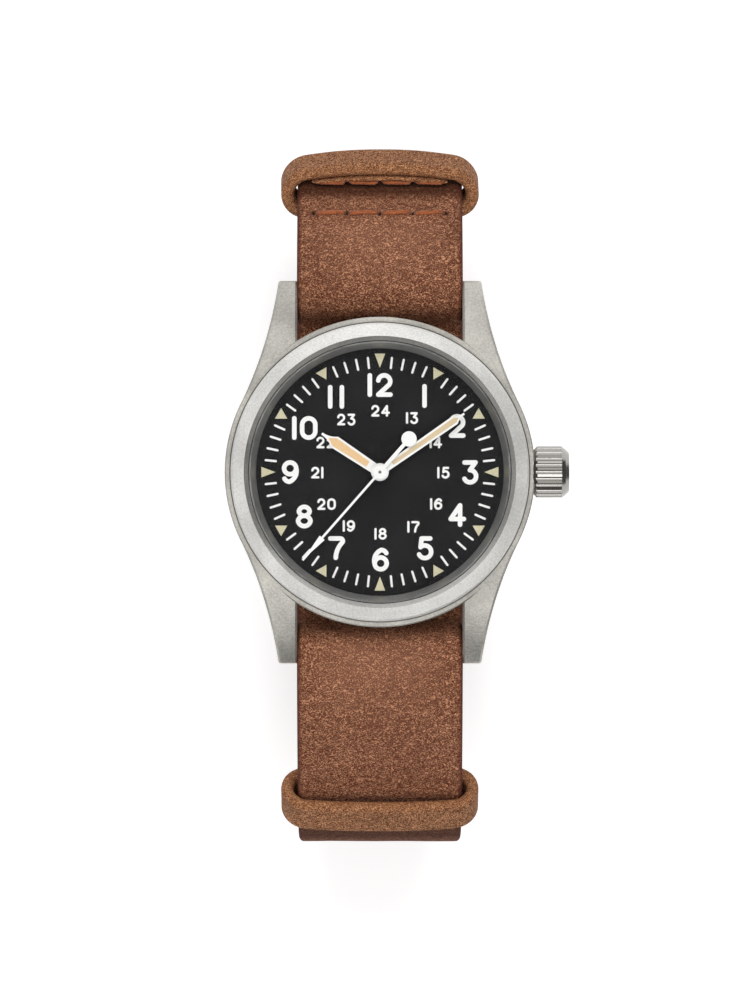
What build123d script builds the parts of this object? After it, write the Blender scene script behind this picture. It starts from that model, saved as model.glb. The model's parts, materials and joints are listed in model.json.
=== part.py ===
"""A hand-wound field watch on a closed leather strap, in millimetres.

Z runs up through the dial, Y towards 12 o'clock and X towards the crown. The origin is on the dial's
axis, on the wrist side of the under strap. Heights in the case are measured from the case back.
"""

import os
from math import acos, atan2, copysign, cos, degrees, hypot, radians, sin, sqrt

from build123d import *

os.makedirs("parts", exist_ok=True)

# Strap leather and the layers under the case
strap_w = 20.0
strap_t = 1.6
under_t = 1.2
layer_gap = 0.1
cut_over = 1.0
case_floor = under_t + strap_t + 2 * layer_gap

# Rings around the movement, from its plate out to the case's flank
movement_r = 12.85
ring_play = 0.05
ring_w = 2.55
ring_in_r = movement_r + ring_play
ring_r = ring_in_r + ring_w
case_play = 0.15
movement_bore_r = ring_r + case_play
bezel_step = 0.5
bezel_bore_r = movement_bore_r + bezel_step
bezel_w = 2.15
bezel_r = bezel_bore_r + bezel_w
shelf_w = 0.75
case_r = bezel_r + shelf_w

# Heights stacked from the movement's plate up to the case's shelf
plate_h = 3.3
plate_t = 0.9
plate_top_h = plate_h + plate_t
dial_room = 0.6
dial_low_h = plate_top_h + dial_room
dial_t = 0.4
dial_h = dial_low_h + dial_t
seat_room = 1.1
bezel_seat_h = dial_h + seat_room
seat_deep = 0.6
shelf_h = bezel_seat_h + seat_deep

# Case, measured across and up from the case back
flank_slope = 1.4
flank_low_r = case_r - flank_slope
back_h = 1.0
flank_low_h = 2.5
shelf_edge = 0.15
bezel_groove = 0.05
back_thread_step = 0.55
back_thread_r = movement_bore_r + back_thread_step
back_thread_h = 0.95
bar_out = 2.6
bar_y = case_r + bar_out
bar_h = 1.7
lug_nose = 1.9
lug_span = 2 * (bar_y + lug_nose)
lug_play = 0.3
lug_gap = strap_w + lug_play
lug_w = 2.3
lug_tip_x = lug_gap / 2 + lug_w
lug_tip_round = 0.35
lug_bulge = 1.91
lug_mid_x = lug_tip_x + lug_bulge
lug_mid_in = 4.0
lug_mid_y = case_r - lug_mid_in
lug_root_y = 8.8
lug_tip_h = 3.5
lug_tip_low_h = 0.3
lug_crown_h = 5.75
lug_crown_in = 2.2
lug_crown_y = bar_y - lug_crown_in
lug_top_in = 5.0
lug_top_y = case_r - lug_top_in
lug_edge = 0.18
lug_top_edge = 0.25
crown_h = 3.75
crown_recess_deep = 0.25

# Bezel and crystal
bezel_wall_l = 1.85
bezel_wall_h = bezel_seat_h + bezel_wall_l
bezel_brow_w = 0.23
bezel_brow_l = 0.27
bezel_brow_h = bezel_wall_h + bezel_brow_l
bezel_lip_w = 0.52
bezel_lip_l = 0.53
bezel_lip_h = bezel_brow_h + bezel_lip_l
bezel_bevel = 0.55
bezel_bore_h = bezel_lip_h - bezel_bevel
gasket_w = 0.1
gasket_sunk = 0.1
gasket_h = bezel_bore_h - gasket_sunk
crystal_r = bezel_bore_r - gasket_w
crystal_deep = 0.9
crystal_low_h = bezel_bore_h - crystal_deep
crystal_edge_l = 1.35
crystal_edge_h = crystal_low_h + crystal_edge_l
crystal_edge = 0.14
dome_rise = 0.65
crystal_dome_h = crystal_edge_h + dome_rise
rehaut_play = 0.05
rehaut_low_w = 0.92
rehaut_low_r = bezel_bore_r - rehaut_low_w
rehaut_top_w = 0.26
rehaut_top_r = bezel_bore_r - rehaut_top_w
rehaut_lip = 0.35

# Case back
back_inset = 1.6
back_r = case_r - back_inset
back_edge = 0.35
back_floor_h = 0.7
back_wall_in = 0.6
back_wall_r = movement_bore_r - back_wall_in
back_neck_play = 0.05
back_notches = 6
notch_w = 2.6
notch_deep = 0.9
notch_h = 0.5
back_gasket_w = 0.5
back_gasket_h = 0.4

# Dial and its print
dial_play = 0.1
dial_r = movement_bore_r - dial_play
dial_hole_r = 0.85
print_t = 0.05
lume_t = 0.12
tick_margin = 1.3
tick_l = 1.5
tick_w = 0.27
hour_margin = 0.97
hour_l = 1.72
hour_base_w = 1.3
small_hour_margin = 1.52
small_hour_side = 1.5
numeral_h = 2.92
numeral_w = 2.17
inner_h = 1.43
inner_w = 1.06
stroke_share = 0.192
numeral_gap = 0.4
bars_gap = 0.87
inner_gap = 0.2

# Hands
hand_t = 0.14
hand_lume_t = 0.06
hour_hand_rise = 0.42
hour_hand_h = dial_h + hour_hand_rise
minute_hand_rise = 0.5
minute_hand_h = hour_hand_h + minute_hand_rise
seconds_hand_rise = 0.48
seconds_hand_h = minute_hand_h + seconds_hand_rise
hand_hub_r = 1.09
seconds_hub_r = 0.9
hub_rise = 0.16
hour_hand_angle = 303.6
minute_hand_angle = 55.3
seconds_hand_angle = 221.3
hour_hand_r = 8.54
hour_hand_root_w = 1.24
hour_hand_w = 1.56
hour_shoulder_r = 6.66
hour_needle_w = 0.3
hour_lume_in_r = 1.77
hour_lume_tip = 0.9
minute_hand_margin = 2.93
minute_hand_r = dial_r - minute_hand_margin
minute_hand_root_w = 0.92
minute_hand_w = 1.14
minute_needle_l = 1.37
minute_shoulder_r = minute_hand_r - minute_needle_l
minute_needle_w = 0.26
minute_lume_in_r = 1.87
minute_lume_tip = 0.5
hand_border = 0.25
seconds_margin = 1.15
seconds_tip_r = dial_r - seconds_margin
seconds_w = 0.28
arrow_root_r = 10.7
arrow_tip_r = 12.9
arrow_w = 0.82
poise_r = 0.94
poise_at_r = 5.4
tail_w = 0.46
needle_bend_share = 0.21
needle_rise_share = 0.42

# Movement plates and bridges
bridge_h = 1.3
bridge_t = 0.5
barrel_bridge_t = 0.8
bridge_inset = 0.35
bridge_edge_r = movement_r - bridge_inset
bridge_edge_y = 4.05
bridge_arm_x = 5.3
bridge_arm_y = -1.5
bridge_room = 0.2
barrel_foot_inset = 1.55
barrel_foot_r = movement_r - barrel_foot_inset
barrel_foot_angles = (35, 130, 155)
train_foot_inset = 2.05
train_foot_r = movement_r - train_foot_inset
train_foot_angles = (178, 210)
boss_r = 1.25
escape_boss_r = 0.85
pillar_r = 1.0
screw_head_r = 0.75
screw_head_t = 0.22
screw_r = 0.35
screw_deep = 0.6
jewel_r = 0.5
jewel_t = 0.3
pivot_r = 0.12
pivot_l = 0.2
arbor_r = 0.16
fine_play = 0.03
running_play = 0.05
disc_gap = 0.08

# Going train
centre_third_gap = 4.3
fourth_escape_gap = 4.23
barrel_gap = 6.51
third_at = 250
escape_at = 335
barrel_at = 80
barrel_teeth = 72
centre_pinion_teeth = 12
centre_teeth = 64
third_pinion_teeth = 8
third_teeth = 60
fourth_pinion_teeth = 8
fourth_teeth = 84
escape_pinion_teeth = 7
fourth_wheel_h = 1.9
wheel_t = 0.12
fourth_pinion_h = 2.05
fourth_pinion_t = 0.35
third_wheel_h = 2.12
third_pinion_h = 2.4
third_pinion_t = 0.26
third_hub_r = 0.3
centre_wheel_h = 2.5
centre_pinion_h = 2.68
centre_pinion_t = 0.55
escape_wheel_h = 2.72
crossing_share = 0.26
crossing_at_share = 0.58
tooth_shares = ((-0.30, -1.2), (-0.18, 0.0), (-0.08, 0.75), (0.08, 0.75), (0.18, 0.0), (0.30, -1.2))

# Barrel
barrel_low_h = 2.75
barrel_top_h = 3.85
barrel_flange_t = 0.36
barrel_drum_share = 0.93
barrel_wall = 0.35
barrel_arbor_r = 0.6
barrel_core_r = 1.1
barrel_pivot_r = 0.45
barrel_floor = 0.2
spring_t = 0.13
spring_in_r = 2.4
spring_pitch = 0.3
spring_turns = 7
barrel_recess_play = 0.18
ratchet_h = 1.02
ratchet_t = 0.23
ratchet_teeth = 48
crown_wheel_teeth = 28
crown_wheel_x = 7.0
contrate_r = 2.9
contrate_teeth = 42
contrate_h = 2.3
contrate_t = 0.2
contrate_tooth = 0.14
contrate_tooth_l = 0.6
contrate_tooth_w = 0.2
crown_wheel_arbor_r = 0.5
click_at = 150
click_from_r = 7.0
click_r = 0.65
click_post_r = 0.3
click_tip_at = 128
click_tip_gap = 0.55
click_tip_r = 0.25

# Escapement and balance
escape_wheel_r = 2.1
escape_wheel_teeth = 15
escape_root_share = 0.78
escape_back_share = 0.7
escape_lean_share = 0.8
pallet_gap = 2.42
pallet_at = 260
balance_arm = 3.0
fork_t = 0.16
fork_hub_r = 0.22
fork_head_l = 0.4
fork_arm_w = 0.4
fork_slot_w = 0.6
fork_slot_deep = 0.24
fork_horn_w = 0.34
fork_front = 0.72
stone_half_angle = 30
stone_play = 0.12
stone_l = 0.7
stone_w = 0.3
roller_pin_at = 0.7
roller_pin_r = 0.08
roller_r = 0.95
roller_h = 3.0
roller_t = 0.14
balance_r = 4.2
balance_rim_w = 0.5
balance_h = 1.5
balance_t = 0.34
balance_spoke_w = 0.5
staff_r = 0.22
cock_h = 0.95
cock_t = 0.35
cock_r = 1.25
cock_foot_x = 8.3
cock_foot_y = -7.9
pallet_bridge_h = 2.32
pallet_bridge_t = 0.24
pallet_foot_r = 0.5
pallet_foot_low_at = 214.5
pallet_foot_low_r = 1.82
pallet_foot_side_at = 350
pallet_foot_side_r = 2.53
hair_in_r = 0.75
hair_pitch = 0.26
hair_turns = 5
hair_w = 0.06
hair_h = 1.38
hair_t = 0.08

# Motion work under the dial
centre_tube_r = 0.36
centre_bore_r = 0.25
seconds_arbor_r = 0.2
cannon_pipe_r = 0.5
hour_pipe_in_r = 0.55
hour_pipe_r = 0.75
cannon_teeth = 12
minute_wheel_teeth = 36
minute_pinion_teeth = 10
hour_wheel_teeth = 40
motion_gap = 2.4
minute_wheel_at = 120
cannon_rise = 0.05
cannon_low_h = plate_top_h + cannon_rise
cannon_teeth_t = 0.24
minute_wheel_rise = 0.1
minute_wheel_h = plate_top_h + minute_wheel_rise
minute_pinion_l = 0.44
minute_pinion_top_h = minute_wheel_h + minute_pinion_l
hour_wheel_rise = 0.26
hour_wheel_h = minute_wheel_h + hour_wheel_rise
minute_post_r = 0.2

# Winding and setting
stem_r = 0.45
stem_pilot_r = 0.3
stem_pilot_x = 4.9
stem_in_x = 5.9
stem_room = 0.5
sliding_pinion_x = 6.9
sliding_pinion_l = 1.5
sliding_pinion_r = 0.95
winding_pinion_x = 9.25
winding_pinion_l = 1.3
winding_pinion_r = 1.0
pinion_notch = 0.2
pinion_groove_w = 0.4
winding_pinion_teeth = 14
pinion_slot_w = 2.4
pinion_slot_x = 5.9
tube_r = 1.0
tube_bore_r = 0.55
tube_in_x = movement_bore_r
tube_out = 1.1
tube_out_x = case_r + tube_out
lever_x = 11.2
lever_y = 2.4
lever_r = 0.5
lever_tip_x = 11.5
lever_tip_y = 0.6
lever_tip_r = 0.25
lever_t = 0.25
lever_rise = 0.1
lever_h = plate_top_h + lever_rise
lever_post_r = 0.25
crown_sunk = 0.13
crown_in_x = case_r - crown_sunk
crown_l = 4.32
crown_end_x = crown_in_x + crown_l
crown_flute_from = 0.43
crown_flute_to = 3.43
crown_flute_x = crown_in_x + crown_flute_from
crown_flute_end_x = crown_in_x + crown_flute_to
crown_r = 3.2
crown_root_r = 2.98
crown_neck_r = 2.75
crown_cap_l = 0.44
crown_cap_x = crown_end_x - crown_cap_l
crown_cap_mid_r = 2.86
crown_cap_r = 2.45
crown_flutes = 24
flute_r = 0.3
crown_recess_r = 1.12
crown_pocket_deep = 1.53
crown_recess_end_x = crown_in_x + crown_pocket_deep
stem_seat_deep = 1.0
crown_stem_x = crown_recess_end_x + stem_seat_deep
crown_room = 0.15
crown_gasket_deep = 0.13
crown_gasket_x = crown_in_x + crown_gasket_deep
crown_gasket_l = 0.3

# Spring bars
bar_tube_r = 0.75
bar_end_gap = 0.1
bar_tube_half = strap_w / 2 - bar_end_gap
bar_bore_l = 3.9
bar_bore_end = bar_tube_half - bar_bore_l
bar_tip_r = 0.4
bar_tip_travel = 1.6
bar_tip_in = bar_bore_end + bar_tip_travel
bar_tip_seat = 1.2
bar_tip_out = lug_gap / 2 + bar_tip_seat
lug_hole_play = 0.05

# Strap route, seen from the crown side: radii of the leather's middle layer, and turns in degrees
loop_drop = 50.8
bar_wrap_play = 0.05
rise_bend_r = 2.6
rise_turn = 60
leave_angle = 10
top_shoulder_r = 20.6
top_shoulder_turn = 45
top_side_r = 16.0
top_heel_r = 22.0
low_shoulder_r = 31.5
low_shoulder_turn = 40
low_side_r = 22.3
low_heel_r = 24.0
top_blend_r = 6.0
low_blend_r = 12.0
top_under_end_angle = 17
low_under_end_angle = 27

# Buckle, free keeper and the strap's tail
keeper_wall = 1.2
keeper_end_room = 1.05
keeper_bend_r = 1.3
slip = 0.1
pivot_y = -3.0
buckle_bar_r = 0.75
frame_bar_r = 1.2
frame_bar_y = -12.5
frame_eye_r = 1.45
frame_arm_w = 2.1
frame_room = 1.0
frame_inside = strap_w + frame_room
frame_side_gap = 0.15
tongue_t = 1.0
tongue_w = 1.6
tongue_eye_r = 1.65
tongue_bend_y = -6.2
tongue_drop_y = -9.3
tongue_tip_y = -13.3
tongue_low = 0.1
tongue_groove_w = 2.0
tongue_groove_deep = 1.25
fold_slot_w = 2.6
fold_slot_end = 2.6
fold_down_turn = 35
fold_blend_r = 2.5
fold_flat = 2.2
step_start_y = -11.0
step_r = 6.0
tail_sweep = 50
tail_tip_round = 7.0
hole_w = 2.2
hole_l = 3.4
hole_pitch = 7.0
hole_y = -7.5
hole_steps = (-2, -1, 1, 2, 3)
pin_hole_l = 4.4
pin_hole_y = -7.2
keeper_free_y = 8.3
keeper_l = 5.0
keeper_play = 0.3
keeper_free_bend_r = 1.0
upper_keeper_angle = 30
lower_keeper_angle = 38.4
lower_keeper_l = 5.2

# Stitches
stitch_t = 0.3
stitch_w = 0.55
stitch_l = 3.75
stitch_pitch = 4.07
stitch_count = 4
stitch_end_share = 0.45
stitch_angles = (46.7, 33.6)
fold_stitch_from_end = 0.9

# Strokes of the numerals, as shares of a digit's half width and half height: two points are a
# straight stroke and three are an arc
digit_shares = {
    "0": (((-1, 0.3), (0, 1), (1, 0.3)), ((1, 0.3), (1, -0.3)), ((1, -0.3), (0, -1), (-1, -0.3)),
          ((-1, -0.3), (-1, 0.3))),
    "1": (((0, 1), (0, -1)),),
    "2": (((-0.9, 0.47), (0, 1), (0.77, 0.04)), ((0.77, 0.04), (-0.9, -1)), ((-0.9, -1), (0.95, -1))),
    "3": (((-0.85, 1), (0.8, 1)), ((0.8, 1), (-0.04, 0.2)), ((-0.04, 0.2), (0.9, -0.4), (-0.86, -0.7))),
    "4": (((0.42, 1), (0.42, -1)), ((0.42, 1), (-1, -0.42)), ((-1, -0.42), (1, -0.42))),
    "5": (((-0.5, 1), (0.8, 1)), ((-0.5, 1), (-0.66, 0.1)), ((-0.66, 0.1), (0.95, -0.4), (-0.88, -0.66))),
    "6": (((-0.92, -0.4), (0, 0.22), (0.92, -0.4)), ((0.92, -0.4), (0, -1), (-0.92, -0.4)),
          ((-0.92, -0.4), (-0.78, 0.45), (0.1, 1)), ((0.1, 1), (0.5, 0.93), (0.85, 0.68))),
    "7": (((-0.95, 1), (0.6, 1)), ((0.6, 1), (0.9, 0.87), (0.82, 0.55)),
          ((0.82, 0.55), (0.1, -0.25), (-0.12, -1))),
    "8": (((-0.82, 0.52), (0, 1), (0.82, 0.52)), ((0.82, 0.52), (0, 0.08), (-0.82, 0.52)),
          ((-0.95, -0.46), (0, 0.08), (0.95, -0.46)), ((0.95, -0.46), (0, -1), (-0.95, -0.46))),
    "9": (((0.92, 0.4), (0, -0.22), (-0.92, 0.4)), ((-0.92, 0.4), (0, 1), (0.92, 0.4)),
          ((0.92, 0.4), (0.78, -0.45), (-0.1, -1)), ((-0.1, -1), (-0.5, -0.93), (-0.85, -0.68))),
}

# Centres of the hour numerals, 1 to 12, and of the inner ones, 13 to 24, as shares of the dial's radius
numeral_place_shares = ((0.353, 0.602), (0.610, 0.365), (0.714, 0), (0.612, -0.339), (0.356, -0.601),
                        (0.006, -0.692), (-0.343, -0.601), (-0.598, -0.351), (-0.710, 0), (-0.594, 0.349),
                        (-0.347, 0.595), (0.003, 0.689))
inner_place_shares = ((0.255, 0.428), (0.442, 0.234), (0.503, -0.004), (0.446, -0.252), (0.266, -0.433),
                      (0.006, -0.488), (-0.245, -0.426), (-0.423, -0.253), (-0.496, -0.004), (-0.430, 0.234),
                      (-0.266, 0.416), (0.004, 0.485))


def up(height):
    """A height above the case back's outer face, as a place on Z."""
    return case_floor + height


def clock(angle, radius):
    """A point at a clock angle, 0 at 12 and 90 at 3."""
    return (radius * sin(radians(angle)), radius * cos(radians(angle)))


def polar(angle, radius):
    """A point at an angle from the X axis."""
    return (radius * cos(radians(angle)), radius * sin(radians(angle)))


def keep(name, built):
    """Label a finished piece and write it."""
    built.part.label = name
    export_step(built.part, f"parts/{name}.step")


def disc(radius, low, high, centre=(0, 0), bore=0, mode=Mode.ADD):
    """A round plate between two places on Z, with a bore if it has one."""
    with BuildSketch(Plane.XY.offset(low)) as plate:
        with Locations(centre):
            Circle(radius)
            if bore:
                Circle(bore, mode=Mode.SUBTRACT)
    extrude(plate.sketch, amount=high - low, mode=mode)


def turned(*points):
    """A turned piece from its half section, given as radius and place on Z."""
    with BuildSketch(Plane.XZ) as section:
        with BuildLine():
            Polyline(*points, close=True)
        make_face()
    revolve(section.sketch, axis=Axis.Z)


def shaft(radius, start, end, bore=0, mode=Mode.ADD):
    """A round piece along the winding stem's axis, between two places on X."""
    with BuildSketch(Plane.YZ.offset(start)) as section:
        with Locations((0, up(crown_h))):
            Circle(radius)
            if bore:
                Circle(bore, mode=Mode.SUBTRACT)
    extrude(section.sketch, amount=end - start, mode=mode)


def gear(teeth, module, centre, phase, low, high):
    """A toothed disc between two places on Z, with a tooth on the direction phase."""
    points = []
    for tooth in range(teeth):
        for turn_share, height_share in tooth_shares:
            reach = (teeth / 2 + height_share) * module
            x, y = polar(phase + (tooth + turn_share) * 360 / teeth, reach)
            points.append((centre[0] + x, centre[1] + y))
    with BuildSketch(Plane.XY.offset(low)) as toothed:
        with BuildLine():
            Polyline(*points, close=True)
        make_face()
    extrude(toothed.sketch, amount=high - low)


def crossings(radius, centre, low, high, count=5):
    """Round windows that lighten a wheel."""
    with BuildSketch(Plane.XY.offset(low)) as windows:
        with Locations(centre):
            with PolarLocations(radius * crossing_at_share, count):
                Circle(radius * crossing_share)
    extrude(windows.sketch, amount=high - low, mode=Mode.SUBTRACT)


def band_edge(start, heading, pieces, shift):
    """One long edge of a leather band, shifted sideways from its middle line. Returns its ends."""
    first = Vector(*start) + Vector(*polar(heading + 90, shift))
    point = first
    for size, turn in pieces:
        if turn:
            radius = size - shift * copysign(1, turn)
            piece = JernArc(point, polar(heading, 1), radius, turn)
        else:
            piece = PolarLine(point, size, heading)
        heading += turn
        point = piece @ 1
    return first, point


def band(start, heading, pieces, thick):
    """A band's long section: straight pieces are a length and 0, bends a radius and a turn."""
    with BuildLine() as outline:
        left = band_edge(start, heading, pieces, thick / 2)
        right = band_edge(start, heading, pieces, -thick / 2)
        Line(left[0], right[0])
        Line(left[1], right[1])
    make_face(outline.edges())


def spiral(radius, pitch, turns):
    """Half turns that grow by half a pitch each."""
    return [(radius + half * pitch / 2, 180) for half in range(2 * turns)]


def mark(points, wide):
    """A round-ended stroke from one point to another, or along the arc through three."""
    if len(points) == 3:
        SlotArc(ThreePointArc(*points, mode=Mode.PRIVATE), wide)
        return
    (x0, y0), (x1, y1) = points
    with Locations(((x0 + x1) / 2, (y0 + y1) / 2)):
        SlotOverall(hypot(x1 - x0, y1 - y0) + wide, wide, rotation=degrees(atan2(y1 - y0, x1 - x0)))


def numeral(text, place, height, width, gap):
    """A number drawn with round-ended strokes, centred on its place in the open sketch."""
    stroke = stroke_share * height
    half_w = (width - stroke) / 2
    half_h = (height - stroke) / 2
    widths = [stroke if digit == "1" else width for digit in text]
    spaces = [bars_gap if text == "11" else gap] * (len(text) - 1) + [0]
    x = place[0] - (sum(widths) + sum(spaces)) / 2
    for digit, wide, space in zip(text, widths, spaces):
        middle = x + wide / 2
        for shares in digit_shares[digit]:
            points = [(middle + px * half_w, place[1] + py * half_h) for px, py in shares]
            mark(points, stroke)
        x += wide + space


def spot(angle, radius, side):
    """A point at a clock angle, moved sideways."""
    x, y = clock(angle, radius)
    return (x + side * cos(radians(angle)), y - side * sin(radians(angle)))


def away(place, angle, distance):
    """A point at an angle and a distance from a place."""
    x, y = polar(angle, distance)
    return (place[0] + x, place[1] + y)


def hull(places, low, high):
    """A plate around round bosses, given as centres and radii."""
    with BuildSketch(Plane.XY.offset(low)) as plate:
        with BuildLine():
            for centre, radius in places:
                CenterArc(centre, radius, 0, 360)
        make_hull()
    extrude(plate.sketch, amount=high - low)


def arbor(centre, low, high, radius):
    """A wheel's arbor between two plates, with a pivot in the jewel at each end."""
    disc(radius, low + disc_gap, high - disc_gap, centre)
    disc(pivot_r, low - pivot_l, high + pivot_l, centre)


def cross_bar(radius, place, start, end, mode=Mode.ADD):
    """A round bar along X between two places, centred on a point seen from the crown side."""
    with BuildSketch(Plane.YZ.offset(start)) as section:
        with Locations(place):
            Circle(radius)
    extrude(section.sketch, amount=end - start, mode=mode)


def side_block(middle, wide, length, low, high, mode):
    """A block across X = 0, given by its middle on Y, its width, its length and two places on Z."""
    with BuildSketch(Plane.XY.offset(low)) as slot:
        with Locations((0, middle)):
            SlotOverall(length, wide, rotation=90)
    extrude(slot.sketch, amount=high - low, mode=mode)


# Where the movement's pieces stand
third_place = polar(third_at, centre_third_gap)
escape_place = polar(escape_at, fourth_escape_gap)
barrel_place = polar(barrel_at, barrel_gap)
pallet_place = away(escape_place, pallet_at, pallet_gap)
balance_place = away(pallet_place, pallet_at, balance_arm)
minute_place = polar(minute_wheel_at, motion_gap)
crown_wheel_place = (crown_wheel_x, 0)
cock_foot = (cock_foot_x, cock_foot_y)
barrel_feet = [polar(angle, barrel_foot_r) for angle in barrel_foot_angles]
train_feet = [polar(angle, train_foot_r) for angle in train_foot_angles]
pallet_feet = [
    away(pallet_place, pallet_foot_low_at, pallet_foot_low_r),
    away(pallet_place, pallet_foot_side_at, pallet_foot_side_r),
]
bridge_top = up(bridge_h + bridge_t)
plate_low = up(plate_h)

# Mid-case: a turned ring with four lugs
with BuildPart() as lugs:
    with BuildSketch(Plane.XY.offset(up(0))) as lug_plan:
        with BuildLine():
            root = (sqrt(case_r**2 - lug_root_y**2), lug_root_y)
            ThreePointArc(root, (lug_mid_x, lug_mid_y), (lug_tip_x, lug_span / 2))
            Polyline((lug_tip_x, lug_span / 2), (0, lug_span / 2), (0, lug_root_y), root)
        make_face()
        fillet(lug_plan.vertices().group_by(Axis.Y)[-1].sort_by(Axis.X)[-1], lug_tip_round)
        mirror(about=Plane.YZ)
        mirror(about=Plane.XZ)
        Rectangle(lug_gap, lug_span, mode=Mode.SUBTRACT)
    extrude(amount=shelf_h)
    with BuildSketch(Plane.YZ):
        with BuildLine():
            tip = (lug_span / 2, up(lug_tip_h))
            shoulder = (lug_top_y, up(shelf_h))
            ThreePointArc(tip, (lug_crown_y, up(lug_crown_h)), shoulder)
            Polyline(
                shoulder,
                (0, up(shelf_h)),
                (0, up(back_h)),
                (flank_low_r - lug_edge, up(back_h)),
                (bar_y - bar_tube_r, up(lug_tip_low_h)),
                (lug_span / 2, up(lug_tip_low_h)),
                tip,
            )
        make_face()
        mirror(about=Plane.YZ)
    extrude(amount=case_r, both=True, mode=Mode.INTERSECT)
    ridges = []
    for edge in lugs.edges():
        reach = edge @ 1 - edge @ 0
        if abs(reach.Y) > lug_nose and abs(reach.Z) > back_h:
            ridges.append(edge)
    chamfer(ridges, lug_top_edge)

with BuildPart() as mid_case:
    turned(
        (0, up(back_h)),
        (flank_low_r, up(back_h)),
        (case_r, up(flank_low_h)),
        (case_r, up(shelf_h) - shelf_edge),
        (case_r - shelf_edge, up(shelf_h)),
        (0, up(shelf_h)),
    )
    shaft(crown_r + crown_room, case_r - crown_recess_deep, case_r + cut_over, mode=Mode.SUBTRACT)
    shaft(tube_r, tube_in_x - cut_over, case_r, mode=Mode.SUBTRACT)
    add(lugs.part)
    disc(movement_bore_r, up(0), up(shelf_h) + cut_over, mode=Mode.SUBTRACT)
    disc(back_thread_r, up(0), up(back_h + back_thread_h), mode=Mode.SUBTRACT)
    disc(back_thread_r + back_gasket_w, up(0), up(back_h + back_gasket_h), mode=Mode.SUBTRACT)
    disc(bezel_bore_r, up(dial_h), up(shelf_h) + cut_over, mode=Mode.SUBTRACT)
    disc(bezel_r + bezel_groove, up(bezel_seat_h), up(shelf_h) + cut_over, mode=Mode.SUBTRACT)
    for side in (-bar_y, bar_y):
        cross_bar(bar_tip_r + lug_hole_play, (side, up(bar_h)), -case_r, case_r, Mode.SUBTRACT)
keep("mid_case", mid_case)

# Bezel: a ring with a sloping top and a bevelled inner lip
with BuildPart() as bezel:
    turned(
        (bezel_bore_r, up(bezel_seat_h)),
        (bezel_r, up(bezel_seat_h)),
        (bezel_r, up(bezel_wall_h)),
        (bezel_r - bezel_brow_w, up(bezel_brow_h)),
        (bezel_bore_r + bezel_lip_w, up(bezel_lip_h)),
        (bezel_bore_r, up(bezel_bore_h)),
    )
keep("bezel", bezel)

# Crystal: a domed glass with a straight edge
dome_half = crystal_r - crystal_edge
dome_r = (dome_half**2 + dome_rise**2) / (2 * dome_rise)
dome_angle = degrees(atan2(dome_half, dome_r - dome_rise))
with BuildPart() as crystal:
    with BuildSketch(Plane.XZ):
        with BuildLine():
            Polyline(
                (0, up(crystal_dome_h)),
                (0, up(crystal_low_h)),
                (crystal_r, up(crystal_low_h)),
                (crystal_r, up(crystal_edge_h) - crystal_edge),
                (dome_half, up(crystal_edge_h)),
            )
            CenterArc((0, up(crystal_dome_h) - dome_r), dome_r, 90 - dome_angle, dome_angle)
        make_face()
    revolve(axis=Axis.Z)
keep("crystal", crystal)

with BuildPart() as crystal_gasket:
    disc(bezel_bore_r, up(crystal_low_h), up(gasket_h), bore=crystal_r)
keep("crystal_gasket", crystal_gasket)

# Rehaut: the sloping ring between the dial's edge and the glass
with BuildPart() as rehaut_ring:
    turned(
        (rehaut_low_r, up(dial_h)),
        (bezel_bore_r - rehaut_play, up(dial_h)),
        (bezel_bore_r - rehaut_play, up(crystal_low_h)),
        (rehaut_top_r, up(crystal_low_h)),
        (rehaut_low_r, up(dial_h) + rehaut_lip),
    )
keep("rehaut_ring", rehaut_ring)

# Case back: a screwed cup with key notches around its edge
with BuildPart() as case_back:
    disc(back_r, up(0), up(back_h))
    chamfer(case_back.edges().sort_by(Axis.Z)[0], back_edge)
    disc(back_thread_r - back_neck_play, up(back_h), up(back_h + back_thread_h))
    disc(back_wall_r, up(back_floor_h), up(back_h + back_thread_h), mode=Mode.SUBTRACT)
    with BuildSketch(Plane.XY.offset(up(0))):
        with PolarLocations(back_r, back_notches):
            Rectangle(2 * notch_deep, notch_w)
    extrude(amount=notch_h, mode=Mode.SUBTRACT)
keep("case_back", case_back)

with BuildPart() as case_back_gasket:
    disc(back_thread_r + back_gasket_w, up(back_h), up(back_h + back_gasket_h), bore=back_thread_r)
keep("case_back_gasket", case_back_gasket)

with BuildPart() as movement_ring:
    disc(ring_r, up(back_h + back_thread_h), up(dial_low_h), bore=ring_in_r)
    shaft(stem_r + crown_room, ring_in_r - cut_over, ring_r + cut_over, mode=Mode.SUBTRACT)
keep("movement_ring", movement_ring)

with BuildPart() as crown_tube:
    shaft(tube_r, tube_in_x, tube_out_x, bore=tube_bore_r)
keep("crown_tube", crown_tube)

# Dial and its print
with BuildPart() as dial:
    disc(dial_r, up(dial_low_h), up(dial_h), bore=dial_hole_r)
keep("dial", dial)

with BuildPart() as dial_print:
    with BuildSketch(Plane.XY.offset(up(dial_h))):
        for hour, (place, inner_place) in enumerate(zip(numeral_place_shares, inner_place_shares), 1):
            x, y = (share * dial_r for share in place)
            numeral(str(hour), (x, y), numeral_h, numeral_w, numeral_gap)
            x, y = (share * dial_r for share in inner_place)
            numeral(str(hour + 12), (x, y), inner_h, inner_w, inner_gap)
            with PolarLocations(dial_r - tick_margin - tick_l / 2, 4, hour * 30 + 6, 18, endpoint=True):
                SlotOverall(tick_l, tick_w)
    extrude(amount=print_t)
keep("dial_print", dial_print)

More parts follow.
